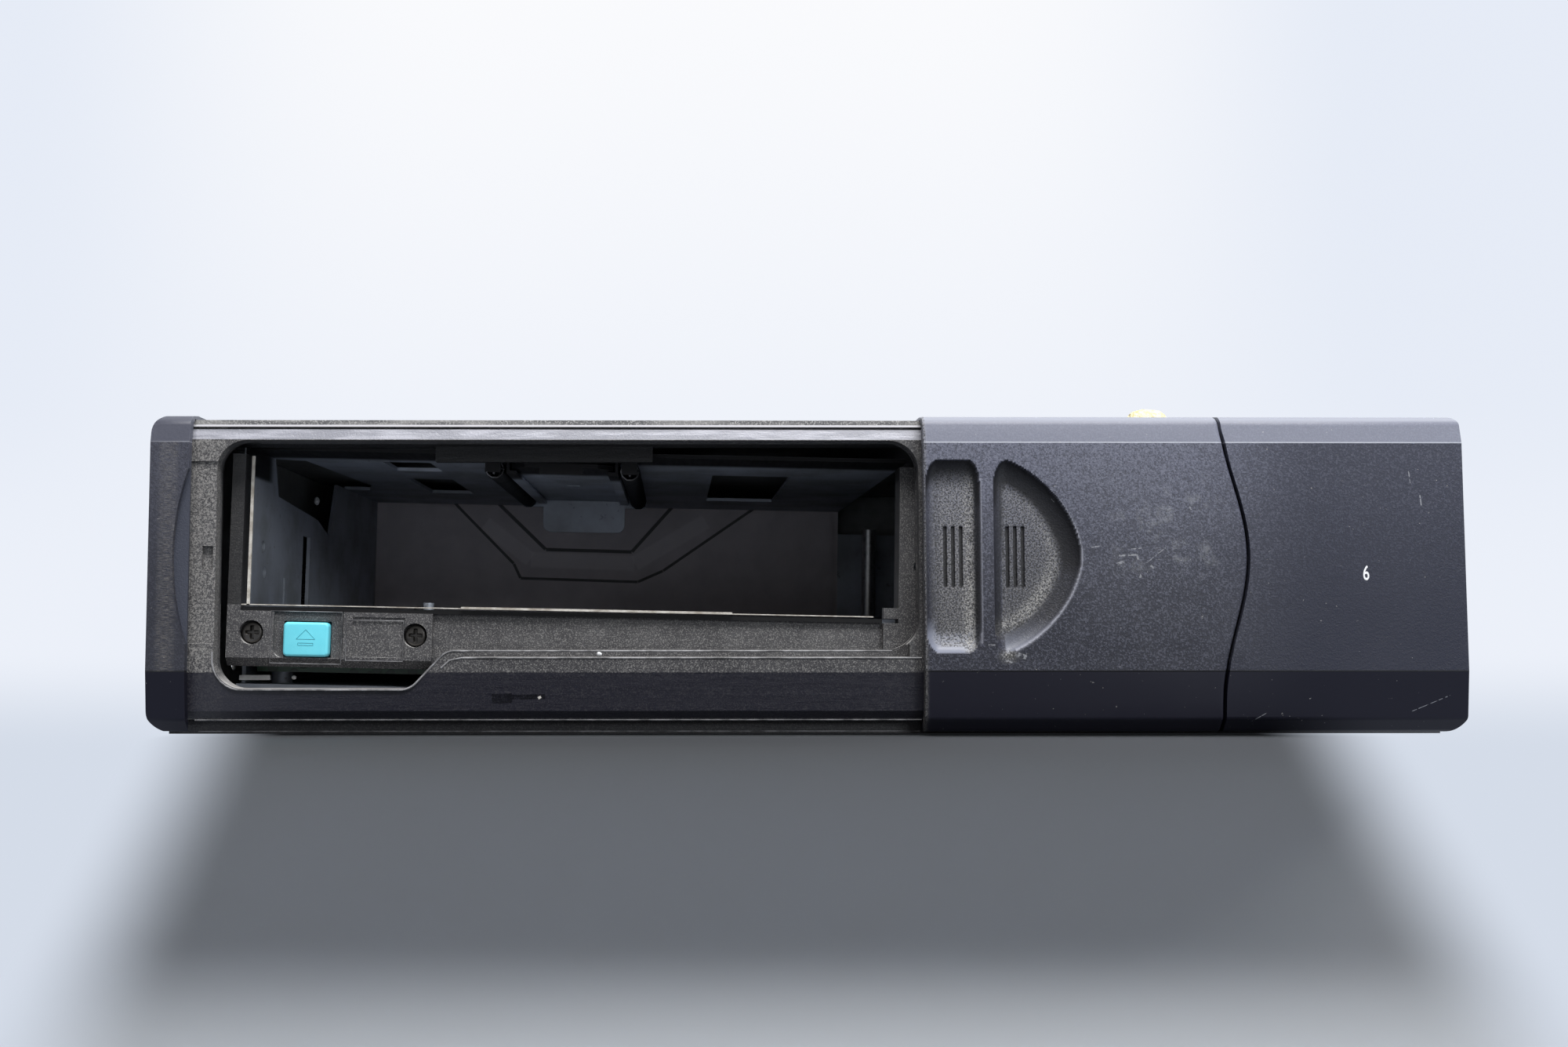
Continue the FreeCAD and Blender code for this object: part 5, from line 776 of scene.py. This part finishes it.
def door_sheets(depth_shares):
    """The door's outer section, and its outer and inner sheet as grids of x, y and z."""
    steps = [[0.5], [0.4], [0.5], [0.33, 0.66, 0.9], depth_shares, *[[0.5]] * 5]
    outer = rounded_path([(corner, radius) for corner, radius, _ in SECTION], steps)
    inner = rounded_path([(corner, 0.0) for _, _, corner in SECTION], steps)
    left = door_columns()
    shares = np.array([0.12, 0.25, 0.4, 0.55, 0.7, 0.8, 0.88, 0.94, 0.97, 0.985, 0.993, 0.997, 1.0])
    sheets = []
    for sheet in (outer, inner):
        stop = seam(sheet[:, 1]) - SEAM_GAP
        rest = left[-1] + shares[:, None] * (stop - left[-1])[None, :]
        x = np.concatenate([np.repeat(left[:, None], len(sheet), 1), rest])
        sheets.append([x, *(np.repeat(sheet[None, :, axis], len(x), 0) for axis in (0, 1))])
    return outer, sheets


def build_door(settings):
    """The door's moulding: two sheets sunk at the recesses and grooves, joined at their edges."""
    face_rows = np.unique(np.round(np.concatenate([
        np.arange(12.9, 15.6, 0.9), np.arange(15.7, 54.4, 0.3), np.arange(54.6, 56.9, 0.8)]), 3))
    outer, sheets = door_sheets([(z - BAND_TOP) / (FACET_FOOT - BAND_TOP) for z in face_rows])
    x, y, z = sheets[0]
    front = (z > 14) & (z < 56) & (y < 0.5)
    recess = np.maximum(edge_recess(x, z)[0], round_recess(x, z)[0]) * settings.recess / MM * front
    y += recess + groove_share(x, z, settings.groove / MM) * settings.groove_depth / MM * front
    from_seam = (seam(outer[:, 1]) - SEAM_GAP)[None, :] - x
    for gap, radius in ((x - DOOR_LEFT, 0.35), (from_seam, 0.6)):
        short = np.clip(radius - gap, 0, radius)
        inset = radius - np.sqrt(radius ** 2 - short ** 2)
        slope = np.clip((y - 0.3) / 2.0, 0, 1)
        y += inset * (1 - slope)
        z -= inset * slope * np.sign(z - 35)
    _, inner_y, inner_z = sheets[1]
    inner_front = (inner_z > 13) & (inner_z < 56.5)
    sheets[1][1] = np.maximum(inner_y, np.where(inner_front & front, recess + 0.95, 0))
    rings = [np.concatenate([near, far[:, ::-1]], 1) for near, far in zip(*sheets)]
    points = [(a, FACE + b, c) for a, b, c in zip(*(grid.ravel() for grid in rings))]
    count, sides = x.shape[0], rings[0].shape[1]
    faces = ring_faces(count, sides)[:-2]
    for start in (0, (count - 1) * sides):
        faces += [(start + j, start + j + 1, start + sides - 2 - j, start + sides - 1 - j)
                  for j in range(sides // 2 - 1)]
    piece = new_piece("sliding_door_moulding", points, faces, "front_plastic", "door", smooth=30)
    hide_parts("sliding_door")
    return piece


def rise(value, start, run):
    """0 before start and 1 beyond its run; a negative run falls instead."""
    return np.clip((value - start) / run, 0, 1)


def hump(value, middle, width):
    """1 at the middle, fading like a bell over its width."""
    return np.exp(-((value - middle) / width) ** 2)


def door_marks(piece):
    """Dust, smooth walls with a painted sheen, painted highlights along the rims and painted shade
    of the recesses and grooves, as numbers on the points.
    """
    flat = np.empty(len(piece.data.vertices) * 3)
    piece.data.vertices.foreach_get("co", flat)
    x, y, z = flat.reshape(-1, 3).T / MM
    edge, _ = edge_recess(x, z)
    dish, dish_near = round_recess(x, z)
    outside = y < FACE + 4
    low = rise(z, 34, -16)
    dust = 1.4 * hump(rim_share(x, z), 0.17, 0.24) * (dish > 0) * (0.2 + 0.8 * low)
    dust *= 0.35 + 0.65 * rise(x, 40, 10)
    dust += 0.8 * hump(x, 31.7, 1.2) * (edge > 0.1) * (0.45 + 0.55 * low)
    dust += 0.35 * hump(x, 22.5, 0.4)
    dust += 0.32 * (edge > 0.7) * rise(x, 23.2, 3) + 0.2 * (dish > 0.9)
    dust += 0.9 * hump(np.hypot((x - 38.6) / 1.3, (z - 15.6) / 0.8), 0, 1)
    outer_wall = rise(dish, 0.97, -0.12) * (dish > 0.02) * (x > 38)
    # smooth: the recesses' lower walls, less grainy, and coloured as a painted sheen where they
    # face up.
    smooth = (edge > 0.02) * rise(edge, 1.0, -0.05) * rise(z, 23, -3)
    smooth = np.maximum(smooth, 0.7 * outer_wall * rise(z, 23, -6))
    # darkening: painted shade on the recesses' walls, most on their upper and right walls.
    darkening = np.clip(1.3 - 1.5 * edge, 0, 1) * (edge > 0.01) * rise(z, 44, 5)
    darkening += 0.8 * rise(x, 32.2, 0.3) * (edge > 0.01) * (edge < 0.8)
    darkening += rise(dish_near, 0.18, 0.3) * (dish > 0.01) * rise(z, 31, 8) * (x > 37.5)
    darkening += np.clip(1.25 - 1.4 * dish, 0, 1) * (dish > 0.01) * rise(z, 44, 4)
    darkening += 0.78 * (edge > 0.02) * rise(z, 47.8, 3.6)
    darkening += 0.4 * rise(x, 26.2, -3) * (edge > 0.3) * rise(z, 19, 5)
    darkening += 0.75 * (dish > 0.02) * (dish < 0.9) * (x < 37.5) * rise(z, 18, 3)
    darkening += 0.7 * outer_wall * rise(z, 16, 9)
    # A painted highlight along the lower right rim of the round recess and the right edge of the
    # edge recess.
    rim_highlight = hump(dish_near, 1.01, 0.045) * (x > 40) * rise(z, 47, -6)
    rim_highlight += 0.7 * hump(x, 33.4, 0.2) * (z > 18) * (z < 50)
    # groove: where painted shade fills the grip grooves.
    groove = groove_share(x, z, 0.64) * (z > 14)
    for name, values in (("dust", dust), ("smooth", smooth), ("rim_highlight", rim_highlight),
                         ("darkening", darkening), ("groove", groove)):
        mark = piece.data.attributes.new(name, "FLOAT", "POINT")
        mark.data.foreach_set("value", np.clip(values * outside, 0, 1).astype(np.float32))


# ---- small pieces

def coil(start, stop, radius, wire, turns, axis, lead, steps):
    """Path of a coil along its axis, with a straight lead and a loop at each end."""
    start, stop = Vector(start), Vector(stop)
    along = (stop - start).normalized()
    u, v = Vector((1, 0, 0)), Vector({"y": (0, 0, 1), "z": (0, 1, 0)}[axis])
    loop = radius * 0.55

    def end_loop(end, out):
        bends = [math.pi * 1.5 * step / 8 for step in range(9)]
        reach = lead - loop - wire / 2
        return [end + out * (reach + loop * math.cos(bend)) + v * (loop * math.sin(bend))
                for bend in bends]

    count = int(turns * steps)
    path = end_loop(start, -along)[::-1]
    for step in range(count + 1):
        turn = 2 * math.pi * step / steps
        around = (u * math.cos(turn) + v * math.sin(turn)) * radius
        path.append(start.lerp(stop, step / count) + around)
    return path + end_loop(stop, along)


def cross_head(centre, head, shank, tall, long, axis, out):
    """A pan-head screw from the centre of its seat: radii, lengths, and the way it faces."""
    face = [(head * share, out * tall * (1 - 0.16 * share ** 2)) for share in
            (0.01, 0.08, 0.13, 0.18, 0.24, 0.3, 0.36, 0.42, 0.48, 0.54, 0.6, 0.66, 0.74, 0.82)]
    rim = [(head * 0.93, out * tall * 0.80), (head * 0.985, out * tall * 0.62),
           (head, out * tall * 0.4), (head, 0.0), (shank, 0.0), (shank, -out * long)]

    def cross(u, v):
        narrow, wide = sorted((abs(u), abs(v)))
        depth = max(0, min(1, (head * 0.17 - narrow) / (head * 0.05)))
        depth *= max(0, min(1, (head * 0.62 - wide) / (head * 0.08)))
        return -out * tall * 0.5 * depth

    return lathe(face + rim, centre, axis, 56, cross)


def rounded_key(low, high, front, back, corner, soft):
    """A key with rounded corners and a softened front edge, pressed along Y."""
    bends = [math.pi / 2 * step / 5 for step in range(6)]
    rings = [(soft * (1 - math.sin(bend)), front + soft * (1 - math.cos(bend))) for bend in bends]
    rings.append((0.0, back))
    points = []
    sides = 32
    for inset, y in rings:
        radius = max(corner - inset, 0.05)
        for side in range(sides):
            quarter, part = divmod(side, sides // 4)
            turn = math.pi / 2 * (quarter + part / (sides // 4 - 1))
            cx = high[0] - corner if quarter in (0, 3) else low[0] + corner
            cz = high[1] - corner if quarter in (0, 1) else low[1] + corner
            points.append((cx + radius * math.cos(turn), y, cz + radius * math.sin(turn)))
    return points, ring_faces(len(rings), sides)


def slab(low, high):
    """Points and faces of a box between two corners."""
    return (list(itertools.product(*zip(low, high))),
            [(0, 1, 3, 2), (4, 6, 7, 5), (0, 4, 5, 1), (2, 3, 7, 6), (0, 2, 6, 4), (1, 5, 7, 3)])


def lump(centre, size, seed, rough, level, floor=0.0):
    """An irregular rounded lump, cut level at its floor."""
    work = bmesh.new()
    bmesh.ops.create_icosphere(work, subdivisions=level, radius=1)
    points = []
    for vertex in work.verts:
        place = vertex.co
        swell = 1 + rough * noise.fractal(place * 1.6 + Vector((seed, 0, 0)), 1.0, 2.0, 4)
        px, py, pz = (c + s * p * swell for c, s, p in zip(centre, size, place))
        points.append((px, py, max(pz, floor)))
    faces = [tuple(vertex.index for vertex in face.verts) for face in work.faces]
    work.free()
    return points, faces


def foam_remnant():
    """The foam pad's remnant and a crumb beside it."""
    low, high = (Vector(corner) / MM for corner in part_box("foam_pad"))
    middle = (low + high) / 2
    size = (high - low) / 2
    cover = 62.15
    main = lump((middle.x + 0.8, middle.y, 62.3), (size.x * 1.14, size.y * 0.9, size.z * 1.75),
                seed=2.0, rough=0.07, level=4, floor=cover)
    crumb = lump((middle.x - size.x - 0.9, middle.y - 1, 62.3), (1.0, 2.4, 0.8),
                 seed=5.0, rough=0.2, level=3, floor=cover)
    piece = new_piece("foam_remnant", *join(main, crumb), "foam", "case", smooth=60)
    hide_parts("foam_pad")


def disc_number(height):
    """The printed number, a narrow figure stretched to its height."""
    text = bpy.data.curves.new("disc_number", "FONT")
    text.body = "6"
    text.size = height * 1.38
    text.extrude = 0.004 * MM
    text.offset = 0.045 * MM
    text.resolution_u = 16
    holder = added("disc_number_outline", text)
    bpy.context.view_layer.update()
    solid = holder.evaluated_get(bpy.context.evaluated_depsgraph_get())
    mesh = bpy.data.meshes.new_from_object(solid)
    bpy.data.objects.remove(holder)
    mesh.transform(Matrix.Rotation(math.pi / 2, 4, "X") @ Matrix.Diagonal((0.66, 1, 1, 1)))
    corner = Vector([min(v.co[axis] for v in mesh.vertices) for axis in range(3)])
    top = max(v.co.z for v in mesh.vertices) - corner.z
    stretch = Matrix.Diagonal((1, 1, height / top, 1))
    mesh.transform(stretch @ Matrix.Translation(-corner))
    mesh.transform(Matrix.Translation(Vector((107.75, FACE - 0.006, 30.25)) * MM))
    piece = added("disc_number", mesh)
    mesh.materials.clear()
    mesh.materials.append(LOOKS["numeral"])
    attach(piece, "case")


def frame_ridges(radius):
    """Rubbed ridges along the frame's steps, whose pale colour is partly a painted highlight."""
    corners = [((-116.0, 16.4), 0.0), ((-116.0, 8.95), 5.8), ((-77.6, 8.95), 4.4),
               ((-70.5, 16.5), 3.4), ((16.4, 16.5), 0.0)]
    rim = rounded_path(corners, [[0.5]] * 4, 9)
    runs = []
    for path, back, thick in (
            (rim, 3.25, radius),
            (((-71.5, 13.2), (-69.8, 14.7), (-67.5, 15.15), (22.2, 15.15)), 3.25, radius),
            (((-119.5, 3.1), (22.3, 3.1)), 4.75, 0.16),
            (((-119.5, 0.75), (22.3, 0.75)), 7.1, 0.16)):
        runs.append(tube([(x, FACE + back, z) for x, z in path], thick, 8))
    piece = new_piece("frame_ridges", *join(*runs), "ridge", "case", smooth=60)


def small_trim():
    """Outlines of the mask, pale as a painted highlight on its tray edges, bright tab with its
    pins, floor edge with an upright strip standing for the lit front edge of the bay's left wall,
    and debris.
    """
    outlines = []
    # Pale tubes along the mask's tray edges: a painted highlight.
    for left, right, base, top in ((-105.9, -91.9, 12.9, 23.2), (-91.0, -79.7, 13.7, 21.7)):
        ring = [(left, base), (right, base), (right, top), (left, top), (left, base)]
        outlines.append(tube([(x, -76.6, z) for x, z in ring], 0.11, 6))
    piece = new_piece("mask_outlines", *sagged(join(*outlines)), "ridge", "mechanism", smooth=60)
    tab = slab((-114.2, -68.9, 10.5), (-108.0, -68.4, 11.5))
    pin = lump((-103.2, -68.6, 11.0), (0.5, 0.5, 0.45), seed=3.0, rough=0.1, level=2)
    rivet = lump((-113.7, -5.6, 52.1), (0.7, 1.0, 1.0), seed=4.0, rough=0.05, level=2)
    new_piece("chassis_tab", *join(tab, pin, rivet), "bright_tab", "mechanism")
    # The upright slab is a pale strip standing for the lit front edge of the bay's left wall: a
    # painted highlight.
    edge = join(slab((-68.4, -76.9, 24.3), (-14.6, -75.9, 24.75)),
                slab((-112.0, -76.4, 24.3), (13.5, -75.9, 24.5)),
                slab((-110.95, -76.4, 24.3), (-110.4, -75.9, 54.0)))
    new_piece("floor_edge", *sagged(edge), "dusty_edge", "mechanism")
    bit = lump((-40.7, -81.75, 15.95), (0.5, 0.35, 0.45), seed=7.0, rough=0.3, level=2)
    new_piece("debris", *bit, "numeral", "case", smooth=60)


# ---- stage

LAMPS = (  # name, place, aim, size, power, tint; INCLUDE lights the paper only, EXCLUDE all else
    ("overhead", (0.12, -0.50, 0.90), (0, -0.05, 0.02), (0.8, 0.3), 17.0, (1.0, 0.99, 0.98),
     "EXCLUDE"),
    ("front", (0.55, -0.95, 0.36), (-0.05, -0.05, 0.03), (0.4, 0.3), 3.2, (0.93, 0.97, 1.0),
     "EXCLUDE"),
    ("behind", (0.12, 1.0, 0.352), (0, -0.1, 0), (1.3, 0.07), 68.0, (1.0, 1.0, 1.0), "INCLUDE"),
)


def lay_paper():
    """Pale paper that bends up behind the object."""
    bends = [math.pi / 2 * step / 16 for step in range(17)]
    profile = [(-3.0, 0.0), (1.4, 3.0)]
    profile[1:1] = [(0.9 + 0.5 * math.sin(bend), 0.5 - 0.5 * math.cos(bend)) for bend in bends]
    points = [(x, y, z) for y, z in profile for x in (-4.0, 4.0)]
    faces = [(a, a + 1, a + 3, a + 2) for a in range(0, len(points) - 2, 2)]
    mesh = bpy.data.meshes.new("paper")
    mesh.from_pydata(points, [], faces)
    mesh.shade_smooth()
    mesh.materials.append(paper_finish())
    paper = added("paper", mesh)
    return paper


def soften_world():
    """A faint warm light from all sides."""
    world = bpy.data.worlds.new("soft_light")
    bpy.context.scene.world = world
    world.use_nodes = True
    back = world.node_tree.nodes["Background"]
    back.inputs["Color"].default_value = (1.0, 0.985, 0.97, 1.0)
    back.inputs["Strength"].default_value = 0.19


def hang_lamps(paper):
    """Soft lamps: two that spare the paper, and one for the paper alone."""
    for name, place, aim, size, power, tint, paper_light in LAMPS:
        light = bpy.data.lights.new(name, "AREA")
        light.shape = "RECTANGLE"
        light.size, light.size_y = size
        light.energy = power
        light.color = tint
        lamp = added(name, light)
        lamp.location = place
        lamp.rotation_euler = (Vector(aim) - Vector(place)).to_track_quat("-Z", "Y").to_euler()
        lit = bpy.data.collections.new(name + "_reach")
        lit.objects.link(paper)
        lit.collection_objects[0].light_linking.link_state = paper_light
        lamp.light_linking.receiver_collection = lit


def set_camera():
    """Close to the object and turned slightly up, with a shifted lens."""
    lens = bpy.data.cameras.new("camera")
    lens.lens = 35.59
    lens.sensor_width = 36
    lens.shift_x = 0.0615
    lens.clip_start = 0.01
    lens.clip_end = 20
    camera = added("camera", lens)
    ahead = Vector((0.0086, 0.9976, 0.068)).normalized()
    right = Vector((1, -0.0086, 0)).normalized()
    up = right.cross(ahead)
    turn = Matrix((right, up, -ahead)).transposed().to_4x4()
    camera.matrix_world = Matrix.Translation((-0.02611, -0.385, 0.02076)) @ turn
    bpy.context.scene.camera = camera


# ---- operators

class DressOperator:
    bl_options = {"REGISTER", "UNDO"}

    def execute(self, context):
        self.dress(context.scene.changer_sizes)
        return {"FINISHED"}


class ChangerStage(DressOperator, bpy.types.Operator):
    """Pale floor and backdrop, soft light from above and the camera"""

    bl_idname = "changer.stage"
    bl_label = "Stage, light and camera"

    def dress(self, sizes):
        paper = lay_paper()
        soften_world()
        hang_lamps(paper)
        set_camera()
        bpy.context.scene.view_settings.view_transform = "Standard"


class ChangerDoor(DressOperator, bpy.types.Operator):
    """Sliding door with its scooped recesses, grip grooves and S-shaped edge"""

    bl_idname = "changer.door"
    bl_label = "Sliding door"

    def dress(self, sizes):
        door_marks(build_door(sizes))


class ChangerSprings(DressOperator, bpy.types.Operator):
    """Wound springs of the ejector and the suspension"""

    bl_idname = "changer.springs"
    bl_label = "Springs"

    def dress(self, sizes):
        wire = sizes.wire / MM
        parts = []
        for side in (-1, 1):
            x = EJECTOR_MIDDLE + side * 14.2
            path = coil((x, FACE + 24, 54.0), (x, FACE + 101, 54.0), radius=2.15 - wire / 2,
                        wire=wire, turns=118, axis="y", lead=2.6, steps=10)
            parts.append(sagged(tube(path, wire / 2, 6)))
        piece = new_piece("ejector_coils", *join(*parts), "dull_spring", None, smooth=60)
        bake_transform(piece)
        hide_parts("ejector_springs")
        parts = []
        for x, bottom in ((-120.0, 9.9), (120.0, 5.1)):
            path = coil((x, 10.0, bottom + 2.8), (x, 10.0, 32.1), radius=1.4, wire=0.55,
                        turns=26, axis="z", lead=2.6, steps=12)
            parts.append(tube(path, 0.27, 6))
        piece = new_piece("suspension_coils", *join(*parts), "spring_steel", None, smooth=60)
        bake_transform(piece)
        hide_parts("suspension_springs")


class ChangerScrews(DressOperator, bpy.types.Operator):
    """Cross-head screws of the mask and the cover"""

    bl_idname = "changer.screws"
    bl_label = "Screws"

    def dress(self, sizes):
        parts = [sagged(cross_head((x, -74.4, 18.9), head=2.15, shank=1.15, tall=1.6, long=8.0,
                                   axis="y", out=-1)) for x in (-109.8, -77.4)]
        piece = new_piece("mask_screw_heads", *join(*parts), "black_screw", "mechanism", smooth=28)
        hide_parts("escutcheon_screws")
        places = [((side * 124.6, y, 54.6), "x", side) for y in (-43.0, 57.0) for side in (-1, 1)]
        places += [((x, 83.4, 54.6), "y", 1) for x in (-63.9, 63.9)]
        parts = [cross_head(seat, head=2.7, shank=1.5, tall=1.6, long=5.0, axis=axis, out=out)
                 for seat, axis, out in places]
        piece = new_piece("cover_screw_heads", *join(*parts), "screw_steel", "case", smooth=28)
        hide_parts("cover_screws")


class ChangerKey(DressOperator, bpy.types.Operator):
    """Eject key with its softened edges and the outlined eject mark"""

    bl_idname = "changer.key"
    bl_label = "Eject key"

    def dress(self, sizes):
        x, z = KEY_MIDDLE
        key = rounded_key((x - 4.5, z - 3.4), (x + 4.5, z + 3.4), front=-77.4, back=-69.1,
                          corner=0.9, soft=0.55)
        flange = slab((x - 5.2, -69.74, z - 3.9), (x + 5.2, -69.1, z + 3.9))
        stem = slab((x - 1.4, -69.1, z - 1.4), (x + 1.4, -66.4, z + 1.4))
        parts = sagged(join(key, flange, stem))
        piece = new_piece("eject_key", *parts, "button_plastic", "button", smooth=40)
        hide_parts("eject_button")
        lines = []
        for shape in (((-1.85, 0.05), (1.85, 0.05), (0.0, 1.95)),
                      ((-1.5, -1.15), (1.5, -1.15), (1.5, -0.7), (-1.5, -0.7))):
            for line in zip(shape, shape[1:] + shape[:1]):
                lines.append(tube([(x + a, -77.39, z + b) for a, b in line], 0.065, 8))
        piece = new_piece("eject_mark", *sagged(join(*lines)), "button_mark", "button", smooth=40)


class ChangerTrim(DressOperator, bpy.types.Operator):
    """Foam remnant, disc number, ridges, outlines, tab, floor edge and debris"""

    bl_idname = "changer.trim"
    bl_label = "Foam, number and trim"

    def dress(self, sizes):
        foam_remnant()
        disc_number(sizes.numeral)
        frame_ridges(sizes.ridge / MM * 0.46)
        small_trim()


class ChangerFinishes(DressOperator, bpy.types.Operator):
    """Finish of each CAD node, by its material slot, with softened edges"""

    bl_idname = "changer.finishes"
    bl_label = "Finishes"

    def dress(self, sizes):
        soft = {"left_end_cap": 0.5, "right_front_panel": 0.35, "front_frame": 0.22,
                "escutcheon": 0.3, "top_cover": 0.4, "lower_case": 0.3, "inner_shutter": 0.15}
        own = {"bay_back_plate": "back_zinc", "escutcheon_screws": "black_screw"}
        for part in frame["record"]["subparts"]:
            name = part["node"]
            node = frame["nodes"][name]
            node.data.materials.clear()
            node.data.materials.append(LOOKS[own.get(name, part["material_slot"])])
            for face in node.data.polygons:
                face.material_index = 0
            if name in soft:
                weld = node.modifiers.new("weld", "WELD")
                weld.merge_threshold = 2e-6
                bevel = node.modifiers.new("soft_edges", "BEVEL")
                bevel.width = soft[name] * MM
                bevel.segments = 3
                bevel.limit_method = "ANGLE"
                bevel.angle_limit = math.radians(32)
                bevel.harden_normals = True


class ChangerPanel(bpy.types.Panel):
    """Lists the steps that dress the changer"""

    bl_label = "CD changer"
    bl_idname = "VIEW3D_PT_changer"
    bl_space_type = "VIEW_3D"
    bl_region_type = "UI"
    bl_category = "CD changer"

    def draw(self, context):
        for operator in OPERATORS:
            self.layout.operator(operator.bl_idname)
        for group in (context.scene.changer_colours, context.scene.changer_sizes):
            for name in group.__annotations__:
                self.layout.prop(group, name)


OPERATORS = (ChangerStage, ChangerFinishes, ChangerDoor, ChangerSprings, ChangerScrews, ChangerKey,
             ChangerTrim)
CLASSES = (ChangerColours, ChangerSizes, *OPERATORS, ChangerPanel)

def register():
    for group in CLASSES:
        bpy.utils.register_class(group)
    bpy.types.Scene.changer_colours = bpy.props.PointerProperty(type=ChangerColours)
    bpy.types.Scene.changer_sizes = bpy.props.PointerProperty(type=ChangerSizes)


def unregister():
    del bpy.types.Scene.changer_sizes
    del bpy.types.Scene.changer_colours
    for group in reversed(CLASSES):
        bpy.utils.unregister_class(group)


def main():
    register()
    mix_finishes(bpy.context.scene.changer_colours)
    bpy.ops.changer.stage()
    bpy.ops.changer.finishes()
    bpy.ops.changer.door()
    bpy.ops.changer.springs()
    bpy.ops.changer.screws()
    bpy.ops.changer.key()
    bpy.ops.changer.trim()
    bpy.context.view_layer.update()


if __name__ == "__main__":
    main()
